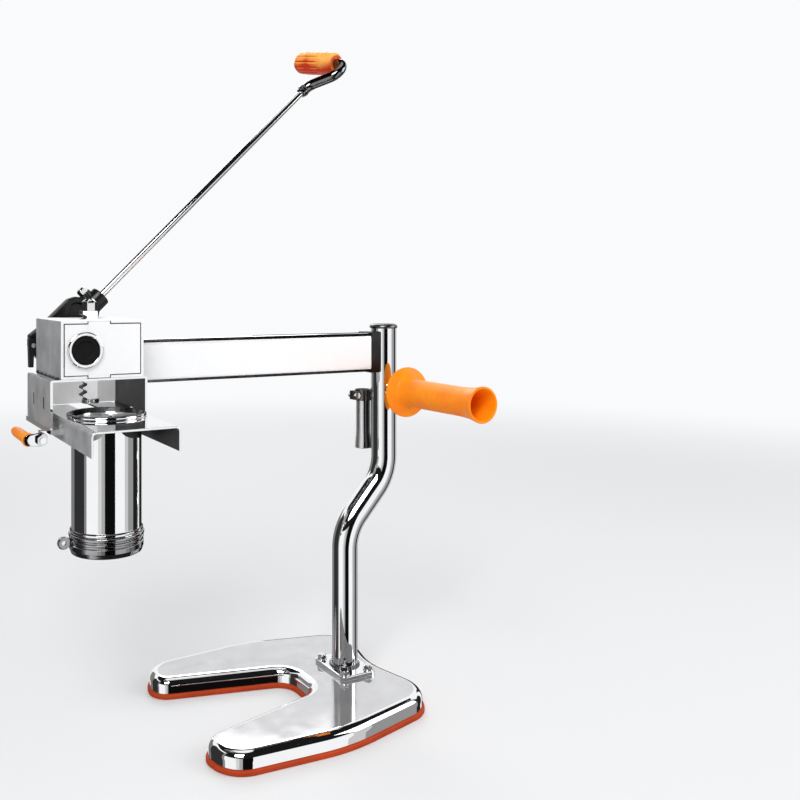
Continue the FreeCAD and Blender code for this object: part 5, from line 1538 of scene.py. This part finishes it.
# ---- Tray, barrel and die -----------------------------------------------------------------
@dataclass
class Carriage(SubAssembly):
    """The folded bracket under the housing, the sliding tray and the barrel in it."""

    kept: Kept = ((Finish.SHEET, ("rail_left", "rail_right", "tray_runner")),)
    left: float = -375.0
    front: float = -52.0
    back: float = 50.0
    left_low: float = 351.0
    clear_low: float = 361.3
    leg_low: float = 337.5
    leg_start: float = 2.0
    leg_step: float = 0.01
    foot_rise: float = 0.02
    wall: float = 2.5
    roof: float = 2.0
    folds: Span = (2.5, 0.4)
    slot_heights: Span = (367.0, 379.0)
    slot_stations: tuple[float, ...] = (-25.75, -22.25, 18.25, 21.75)
    bracket_cells: tuple[tuple[Cells, Cells], ...] = (((1, 2), (1, 2)), ((1, 2), (7, 8)), ((9, 10), (3, 6)))
    panel_gap: float = 0.05
    shadow_from: float = -40.0
    tray_x: Span = (-363.0, -277.6)
    tray_y: Span = (-152.0, 47.0)
    tray_z: Span = (337.6, 361.0)
    tray_way: Span = (-331.5, -309.0)
    tray_way_end: float = -11.0
    tray_sheet: float = 2.0
    tray_bend: float = 5.0
    bend_steps: int = 7
    hole_reach: float = 37.4
    hole_cells: int = 12
    hole_radius: float = 35.0
    barrel: Outline = (
        (33.0, 232.5, 0.4), (34.7, 232.5, 0.4), (34.7, 247.5, 0.2), (36.4, 248.1, 0.9),
        (36.4, 250.3, 0.9), (35.0, 251.3, 0.5), (35.0, 361.0, 0.0), (39.9, 361.0, 1.2),
        (39.9, 364.9, 1.7), (36.4, 364.9, 1.2), (33.0, 360.0, 1.5),
    )

    def bracket_surface(self, side: float, roof: float, fold: float, stations: Points) -> Points:
        """Works out one side of the bracket's sheet: a channel open below, longer in a leg at the rear.

        Args:
            side: how far the walls are moved inwards.
            roof: how far the roof is moved down.
            fold: the folds' radius.
            stations: places along Y.

        Returns:
            The surface, section points by stations.
        """
        x0, x1, z1 = self.left + side, BRACKET_END - side, HEAD_FLOOR - roof
        corners = [(x0, self.left_low, 0.0), *[(x0, z, 0.0) for z in self.slot_heights], (x0, z1, fold)]
        corners += [*[(x, z1, 0.0) for x in RACK_WAY], (x1, z1, fold)]
        corners += [(x1, self.clear_low, 0.0), (x1, self.clear_low, 0.0)]
        surface = extruded(outline(corners, closed=False, steps=5), stations)
        surface[-1, :, 2] = np.where(stations > self.leg_start, self.leg_low, self.clear_low - self.foot_rise)
        return surface

    def build_bracket(self) -> None:
        """Makes the bracket: an upturned channel with slots, the rack's way, a back wall and a rear leg."""
        near, far = self.slot_stations[:2], self.slot_stations[2:]
        step = (self.leg_start - self.leg_step, self.leg_start + self.leg_step)
        stations = vec(self.front, *near, -RACK_WAY_HALF, *step, RACK_WAY_HALF, *far, self.back)
        outer = self.bracket_surface(0.0, 0.0, self.folds[0], stations)
        inner = self.bracket_surface(self.wall, self.roof, self.folds[1], stations)
        slots = [Opening(rows, cols) for rows, cols in self.bracket_cells]
        # Painted shadow on the right wall's inner face and on the rear faces of the slots.
        Shell().sheet(outer, inner, openings=slots).piece(
            "bracket_channel", "frame", "polished_plate", Finish.SHEET, "carriage_bracket",
            bevel=0.6, facings=[*channel_walls(), Facing(-Y, Finish.SHADOW, behind=self.shadow_from)],
        )
        x0, x1 = self.left + self.wall, BRACKET_END - self.wall
        z0, z1 = self.clear_low, HEAD_FLOOR - self.roof
        panel = np.array([(x0, z0), (x1, z0), (x1, z1), (x0, z1)])
        rows = np.array([(self.panel_gap, self.back - self.wall), (self.panel_gap, self.back)])
        # The back panel's finish has a painted glow that brightens it.
        Shell().slab(panel, rows, UPRIGHT).piece(
            "bracket_back_panel", "frame", "polished_plate", Finish.PANEL
        )

    def tray_surface(self, offset: float, columns: Points, stations: Points) -> Points:
        """Works out one side of the tray's sheet: a flat top between two turned-down sides.

        Args:
            offset: how far the surface is moved inwards.
            columns: places along X where the top is cut into cells.
            stations: places along Y.

        Returns:
            The surface, section points by stations.
        """
        x0, x1 = self.tray_x[0] + offset, self.tray_x[1] - offset
        z0, level = self.tray_z[0], self.tray_z[1] - offset
        bend = self.tray_bend - offset
        corners = [(x0, z0, 0.0), (x0, level, bend), *[(x, level, 0.0) for x in columns]]
        corners += [(x1, level, bend), (x1, z0, 0.0)]
        return extruded(outline(corners, closed=False, steps=self.bend_steps), stations)

    def build_tray(self) -> None:
        """Makes the tray, with the barrel's round hole and the rack's way, which is open at the rear."""
        hole_x, hole_y = BARREL_AXIS
        reach, cells = self.hole_reach, self.hole_cells
        spread = np.linspace(hole_x - reach, hole_x + reach, cells + 1)
        columns = np.sort(np.concatenate([spread, self.tray_way]))
        rows = np.linspace(hole_y - reach, hole_y + reach, cells + 1)
        stations = vec(self.tray_y[0], *rows, self.tray_way_end, self.tray_y[1])
        outer, inner = (self.tray_surface(offset, columns, stations) for offset in (0.0, self.tray_sheet))
        first = self.bend_steps + 2
        hole_end = first + len(columns) - 1
        hole = Opening((first, hole_end), (1, cells + 1), BARREL_AXIS, self.hole_radius)
        way = first + np.searchsorted(columns, self.tray_way)
        slot = Opening((int(way[0]), int(way[1])), (cells + 2, cells + 3), ends=True)
        Shell().sheet(outer, inner, openings=[hole, slot]).piece(
            "sliding_tray", "carriage", "polished_plate", Finish.SHEET, "tray",
            bevel=0.35, facings=channel_walls(),
        )

    def build_barrel(self) -> None:
        """Makes the barrel: a tube with a lip on the tray, a bead above the die ring and a plain bore."""
        # Upward faces are painted dark to stand for the dark reflections on the rim's top.
        Shell().turned(outline(self.barrel), seat_along(vec(*BARREL_AXIS, 0.0), Z), segments=160).piece(
            "dough_barrel", "carriage", "polished_tube", Finish.MIRROR, "barrel",
            crease=45, facings=[Facing(Z, Finish.PAINTED_DARK_REFLECTION, least=0.5)],
        )

    def build(self) -> None:
        """Makes the bracket, the tray and the barrel."""
        self.build_bracket()
        self.build_tray()
        self.build_barrel()


@dataclass
class DieHolder(SubAssembly):
    """The grooved die ring with its lug, and the loose pusher above it in the barrel."""

    kept: Kept = ((Finish.TURNED, ("die_plate",)), (Finish.SEAL, ("pusher_seal",)))
    bottom: float = 227.0
    radius: float = 37.0
    ring: Outline = (
        (-7.0, 0.0, 0.3), (-1.6, 0.0, 1.0), (-0.5, 3.5, 0.8), (0.0, 5.0, 0.3),
        (0.0, 9.5, 0.4), (-1.2, 10.3, 0.2), (-1.2, 11.8, 0.2), (0.0, 12.6, 0.4),
        (0.0, 14.2, 0.4), (-1.2, 15.0, 0.2), (-1.2, 16.0, 0.2), (0.6, 17.2, 0.6),
        (0.6, 20.0, 1.0), (-2.2, 20.0, 0.2), (-2.2, 2.5, 0.2), (-7.0, 2.5, 0.3),
    )
    knurl: Relief = grooves(120, 0.35, 232.0, 236.4, 0.8)
    lug_radius: float = 6.3
    lug_height: float = 239.0
    lug_arc: Span = (45.0, 315.0)
    lug_root: Span = (0.8, 4.45)
    lug_half: float = 1.75
    lug_edge: float = 0.7
    lug_hole: float = 2.4
    pusher: Outline = (
        (0.0, 350.0, 0.0), (32.5, 350.0, 0.6), (32.5, 352.5, 0.2), (30.5, 352.5, 0.0),
        (30.5, 355.5, 0.0), (32.5, 355.5, 0.2), (32.5, 358.0, 1.2), (0.0, 358.0, 0.0),
    )
    knob: Outline = ((0.0, 358.0, 0.0), (6.0, 358.0, 0.0), (6.0, 361.0, 1.6), (0.0, 361.0, 0.0))

    def build_ring(self) -> None:
        """Makes the ring: rolled bands between grooves, a knurl on the lowest, and an upright holed lug."""
        x, y = BARREL_AXIS
        corners = [(self.radius + out, self.bottom + up, arc) for out, up, arc in self.ring]
        axis = seat_along(vec(x, y, 0.0), Z)
        shell = Shell().turned(outline(corners, steps=4), axis, segments=480, relief=self.knurl)
        middle = vec(x - self.radius - self.lug_radius, self.lug_height)
        t = np.radians(np.linspace(*self.lug_arc, 48))
        eye = middle + self.lug_radius * np.column_stack([np.cos(t), np.sin(t)])
        overlap, half = self.lug_root
        root = x - self.radius + overlap
        lug = np.vstack([eye, [(root, middle[1] - half), (root, middle[1] + half)]])
        side = rolled_edge(y - self.lug_half, y + self.lug_half, self.lug_edge, self.lug_edge, steps=3)
        shell.pierced(lug, side, tuple(middle), self.lug_hole, UPRIGHT)
        shell.piece(
            "die_collar", "die_holder", "polished_tube", Finish.RING, "die_ring", "die_lip", crease=40
        )

    def build_pusher(self) -> None:
        """Makes the pusher's disc and the domed screw in its middle."""
        seat = seat_along(vec(*BARREL_AXIS, 0.0), Z)
        Shell().turned(outline(self.pusher, closed=False), seat, segments=128, closed=False).piece(
            "pusher_plate", "pusher", "polished_plate", Finish.SATIN, "pusher_disc"
        )
        Shell().turned(outline(self.knob, closed=False), seat, segments=48, closed=False).piece(
            "pusher_knob", "pusher", "fasteners", Finish.PLATED, "pusher_screw"
        )

    def build(self) -> None:
        """Makes the ring and the pusher."""
        self.build_ring()
        self.build_pusher()


# ---- Side grip, holder and lock -----------------------------------------------------------
@dataclass
class SideGrip(SubAssembly):
    """The big hand grip: a round flange, a finely ribbed body and a flared open mouth."""

    kept: Kept = ((Finish.MIRROR, ("grip_stud",)),)
    height: float = 363.5
    start: float = -46.5
    profile: Outline = (
        (8.0, 0.0, 0.0), (26.5, 0.0, 2.0), (30.0, 0.8, 0.7), (30.0, 3.9, 1.4), (25.5, 6.0, 4.0),
        (19.0, 9.6, 8.0), (16.8, 17.0, 14.0), (16.3, 103.5, 60.0), (17.2, 121.5, 40.0), (20.3, 136.9, 1.2),
        (17.4, 136.5, 1.2), (13.3, 113.5, 60.0), (11.8, 97.5, 1.5), (0.0, 97.5, 0.0),
    )
    closing: tuple[Span, ...] = ((0.0, 93.5), (8.0, 93.5))
    spacing: float = 2.4
    ribs: Relief = grooves(44, 0.3, 18.0, 123.5, 8.0)

    def build(self) -> None:
        """Makes the grip."""
        outer = outline(self.profile, closed=False, steps=8)
        fine = resampled(np.vstack([outer, self.closing, outer[:1]]), self.spacing)
        seat = seat_along(vec(POST_X, self.start, self.height), -Y)
        Shell().turned(fine, seat, segments=176, relief=self.ribs).piece(
            "hand_grip", "frame", "orange_grip", Finish.ORANGE, "side_grip", crease=45
        )


@dataclass
class Holder(SubAssembly):
    """The small upright tube behind the post, with its clamp collar."""

    kept: Kept = ((Finish.PAINTED_DARK_REFLECTION, ("holder_collar",)), (Finish.PLATED, ("holder_bolt",)))
    centre: Span = (44.1, 24.9)
    painted_lit_side: Corner = (-0.97, -0.24, 0.0)
    profile: Outline = (
        (7.5, 290.0, 0.0), (7.5, 350.0, 0.0), (9.0, 350.0, 0.0), (9.0, 306.0, 20.0),
        (10.2, 292.0, 8.0), (10.4, 286.0, 0.8), (3.0, 286.0, 0.4), (3.0, 290.0, 0.4),
    )

    def build(self) -> None:
        """Makes the tube."""
        seat = seat_along(vec(*self.centre, 0.0), Z)
        # Painted dark all round as dark reflection, with painted light on the side that looks along the
        # lit-side direction.
        Shell().turned(outline(self.profile, steps=4), seat, segments=64).piece(
            "holder_pipe", "frame", "polished_tube", Finish.PAINTED_DARK_REFLECTION, "holder_tube",
            facings=[Facing(vec(*self.painted_lit_side), Finish.SATIN)],
        )


@dataclass
class TrayLock(SubAssembly):
    """The little lever at the left of the bracket that locks the tray."""

    kept: Kept = ((Finish.SHEET, ("lock_lug",)), (Finish.PLATED, ("lock_nut",)))
    x: float = -384.5
    z: float = 341.6
    arm: float = 11.5
    eye_radius: float = 6.5
    end_radius: float = 5.5
    hole: float = 3.05
    front: float = -56.0
    back: float = -53.0
    edge: float = 0.5
    grip: Outline = (
        (0.0, 0.1, 0.0), (5.6, 0.1, 0.8), (6.6, 1.2, 0.8), (6.6, 4.2, 1.2), (5.1, 6.2, 2.0),
        (5.4, 22.0, 20.0), (5.4, 52.0, 20.0), (4.4, 64.0, 3.0), (0.0, 68.0, 0.0),
    )

    def build(self) -> None:
        """Makes the link and its waisted grip."""
        t = np.linspace(-0.5, 0.5, 20) * math.pi
        half_round = np.column_stack([np.cos(t), np.sin(t)])
        eye = self.eye_radius * half_round + vec(self.x, self.z)
        end = -self.end_radius * half_round + vec(self.x - self.arm, self.z)
        side = rolled_edge(self.front, self.back, self.edge, self.edge, steps=3)
        Shell().pierced(np.vstack([eye, end]), side, (self.x, self.z), self.hole, UPRIGHT).piece(
            "lock_arm", "lock", "polished_plate", Finish.SHADOW, "lock_link",
            facings=[Facing(-Y, Finish.SHEET, least=0.95)],
        )
        seat = seat_along(vec(self.x - self.arm, self.back, self.z), Y)
        Shell().turned(outline(self.grip, closed=False), seat, segments=64, closed=False).piece(
            "lock_handle", "lock", "orange_grip", Finish.ORANGE, "lock_grip"
        )


# ---- Studio -------------------------------------------------------------------------------
@dataclass(frozen=True)
class Flag:
    """A dark screen round the set that only polished metal sees: two angles, two heights and a shade."""

    start: float
    end: float
    low: float
    high: float
    shade: float


@dataclass(frozen=True)
class Disc:
    """A flat dark ring that only polished metal sees."""

    name: str
    radii: Span
    height: float
    shade: float


@dataclass(frozen=True)
class Lamp:
    """A soft square lamp: its place and width in metres, and its power in watts."""

    name: str
    place: Corner
    size: float
    watts: float


@dataclass
class Studio:
    """The plain floor and backdrop, the soft lamps, the dark screens and the camera, in metres."""

    view_turn: float = math.radians(26.9)
    camera_at: Corner = (-0.5805, -0.8983, 0.487)
    sensor: float = 36.0
    lens: float = 38.925
    shift: Span = (0.1825, -0.1375)
    near_clip: float = 0.01
    aim: Corner = (-0.15, -0.02, 0.35)
    backdrop: tuple[float, float, float, float] = (0.955, 0.96, 0.97, 1.0)
    air: tuple[float, float, float, float] = (0.95, 0.97, 1.0, 1.0)
    air_strength: float = 0.55
    floor_half: float = 12.0
    floor_paint: tuple[float, float, float, float] = (0.8, 0.8, 0.8, 1.0)
    floor_roughness: float = 0.9
    floor_fade: Span = (0.9, 3.0)
    screen_radius: float = 3.0
    screens: tuple[Flag, ...] = (
        Flag(-2.0, 30.0, -3.0, 2.9, 0.004),
        Flag(-60.0, 112.0, 0.88, 2.9, 0.01),
        Flag(-22.0, -12.0, -3.0, 0.88, 0.68),
        Flag(-12.0, -2.0, -3.0, 0.88, 0.42),
        Flag(64.0, 78.0, -3.0, 0.88, 0.6),
        Flag(78.0, 102.0, -3.0, 0.88, 0.3),
        Flag(102.0, 128.0, -3.0, 1.3, 0.015),
        Flag(142.0, 150.0, -3.0, 1.3, 0.02),
        Flag(150.0, 181.0, -3.0, 0.75, 0.02),
        Flag(-66.0, -58.0, -3.0, 2.9, 0.25),
        Flag(-112.0, -66.0, -3.0, 2.2, 0.03),
        Flag(-148.0, -112.0, -3.0, 1.4, 0.2),
    )
    discs: tuple[Disc, ...] = (
        Disc("overhead", (3.0, 0.85), 2.9, 0.01),
        Disc("below", (0.7, 1.5), -1.2, 0.03),
    )
    lamps: tuple[Lamp, ...] = (
        Lamp("key_lamp", (-1.3, -1.5, 1.9), 1.1, 34.0),
        Lamp("fill_lamp", (1.8, -1.2, 1.3), 1.4, 18.0),
        Lamp("rim_lamp", (0.6, 1.8, 1.8), 1.2, 16.0),
    )

    def place(self, name: str, data: bpy.types.ID) -> bpy.types.Object:
        """Puts new data into the scene.

        Args:
            name: the object's name.
            data: its mesh, lamp or camera.

        Returns:
            The object.
        """
        thing = bpy.data.objects.new(name, data)
        bpy.context.scene.collection.objects.link(thing)
        return thing

    def build_floor(self) -> None:
        """Makes the floor, which fades into the backdrop's colour away from the press."""
        half = self.floor_half
        corners = [(-half, -half, 0.0), (half, -half, 0.0), (half, half, 0.0), (-half, half, 0.0)]
        mesh = bpy.data.meshes.new("floor")
        mesh.from_pydata(corners, [], [(0, 1, 2, 3)])
        paint = Paint("floor_paint")
        paint.set(Base_Color=self.floor_paint, Roughness=self.floor_roughness)
        length = paint.add("ShaderNodeVectorMath", "LENGTH")
        near, far = self.floor_fade
        fade = paint.add("ShaderNodeMapRange", From_Min=near, From_Max=far)
        fade.interpolation_type = "SMOOTHSTEP"
        glow = paint.add("ShaderNodeEmission", Color=self.backdrop, Strength=1.0)
        mix = paint.add("ShaderNodeMixShader")
        paint.join(paint.place, length.inputs[0])
        paint.join(length.outputs["Value"], fade.inputs["Value"])
        for source, target in zip((fade, paint.shader, glow), mix.inputs):
            paint.join(source.outputs[0], target)
        paint.join(mix.outputs[0], paint.output.inputs[0])
        mesh.materials.append(paint.material)
        floor = self.place("floor", mesh)
        floor.visible_glossy = False

    def build_screens(self) -> None:
        """Makes the dark screens as strips of a cylinder, with a flat ring overhead and one below."""
        toward = math.atan2(self.camera_at[1], self.camera_at[0] - self.aim[0])
        for i, flag in enumerate(self.screens):
            turn = toward + np.radians(np.linspace(flag.start, flag.end, 24))
            ring = self.screen_radius * np.column_stack([np.cos(turn), np.sin(turn)])
            wall = np.stack([LEVEL.at(ring, flag.low), LEVEL.at(ring, flag.high)])
            self.build_screen(f"screen_{i + 1}", Shell().grid(wall), flag.shade)
        for disc in self.discs:
            rings = np.stack([LEVEL.at(circle(radius, 48), disc.height) for radius in disc.radii])
            self.build_screen(f"screen_{disc.name}", Shell().grid(rings, wrap_cols=True), disc.shade)

    def build_screen(self, name: str, shell: Shell, shade: float) -> None:
        """Makes one dark screen that only reflections see.

        Args:
            name: its name.
            shell: its surface, in metres.
            shade: how bright it looks.
        """
        mesh = bpy.data.meshes.new(name)
        mesh.from_pydata(np.vstack(shell.points).tolist(), [], shell.faces)
        paint = Paint(name + "_cloth")
        glow = paint.add("ShaderNodeEmission", Color=(shade, shade, shade, 1.0), Strength=1.0)
        paint.join(glow.outputs[0], paint.output.inputs[0])
        mesh.materials.append(paint.material)
        thing = self.place(name, mesh)
        thing.visible_camera = False
        thing.visible_diffuse = False
        thing.visible_shadow = False
        thing.visible_transmission = False

    def build_world(self) -> None:
        """Lights the air softly, and shows the backdrop's colour to the camera and in reflections."""
        world = bpy.data.worlds.new("studio_air")
        world.use_nodes = True
        bpy.context.scene.world = world
        tree = Tree(world.node_tree)
        rays = tree.add("ShaderNodeLightPath").outputs
        seen = tree.add("ShaderNodeMath", "MAXIMUM")
        also = tree.add("ShaderNodeMath", "MAXIMUM")
        tree.join(rays["Is Camera Ray"], seen.inputs[0])
        tree.join(rays["Is Glossy Ray"], seen.inputs[1])
        tree.join(seen.outputs[0], also.inputs[0])
        tree.join(rays["Is Transmission Ray"], also.inputs[1])
        air = tree.add("ShaderNodeBackground", Color=self.air, Strength=self.air_strength)
        wall = tree.add("ShaderNodeBackground", Color=self.backdrop, Strength=1.0)
        mix = tree.add("ShaderNodeMixShader")
        output = tree.add("ShaderNodeOutputWorld")
        for source, target in zip((also, air, wall), mix.inputs):
            tree.join(source.outputs[0], target)
        tree.join(mix.outputs[0], output.inputs[0])

    def build_lamps(self) -> None:
        """Makes the soft square lamps, each turned so that it shines at the press."""
        for lamp in self.lamps:
            data = bpy.data.lights.new(lamp.name, "AREA")
            data.shape = "SQUARE"
            data.size = lamp.size
            data.energy = lamp.watts
            thing = self.place(lamp.name, data)
            aim = unit(vec(*self.aim) - vec(*lamp.place))
            thing.location = lamp.place
            thing.rotation_euler = (math.acos(-aim[2]), 0.0, math.atan2(aim[1], aim[0]) - 0.5 * math.pi)

    def build_camera(self) -> None:
        """Makes the level camera that looks a little to the right of the +Y direction."""
        data = bpy.data.cameras.new("viewpoint")
        data.sensor_width = self.sensor
        data.lens = self.lens
        data.shift_x, data.shift_y = self.shift
        data.clip_start = self.near_clip
        camera = self.place("viewpoint", data)
        camera.location = self.camera_at
        camera.rotation_euler = (0.5 * math.pi, 0.0, -self.view_turn)
        bpy.context.scene.camera = camera

    def build(self) -> None:
        """Makes the studio and sets the plain view transform."""
        bpy.context.scene.view_settings.view_transform = "Standard"
        self.build_camera()
        self.build_floor()
        self.build_screens()
        self.build_world()
        self.build_lamps()


def main() -> None:
    """Builds the studio and every part of the press."""
    logging.basicConfig(level=logging.INFO, format="%(name)s: %(message)s")
    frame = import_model()
    Studio().build()
    groups = (Stand, Arm, PressHead, Drive, CrankLever, Carriage, DieHolder, SideGrip, Holder, TrayLock)
    for group in groups:
        part = group()
        part.build()
        part.dress(frame)


if __name__ == "__main__":
    main()
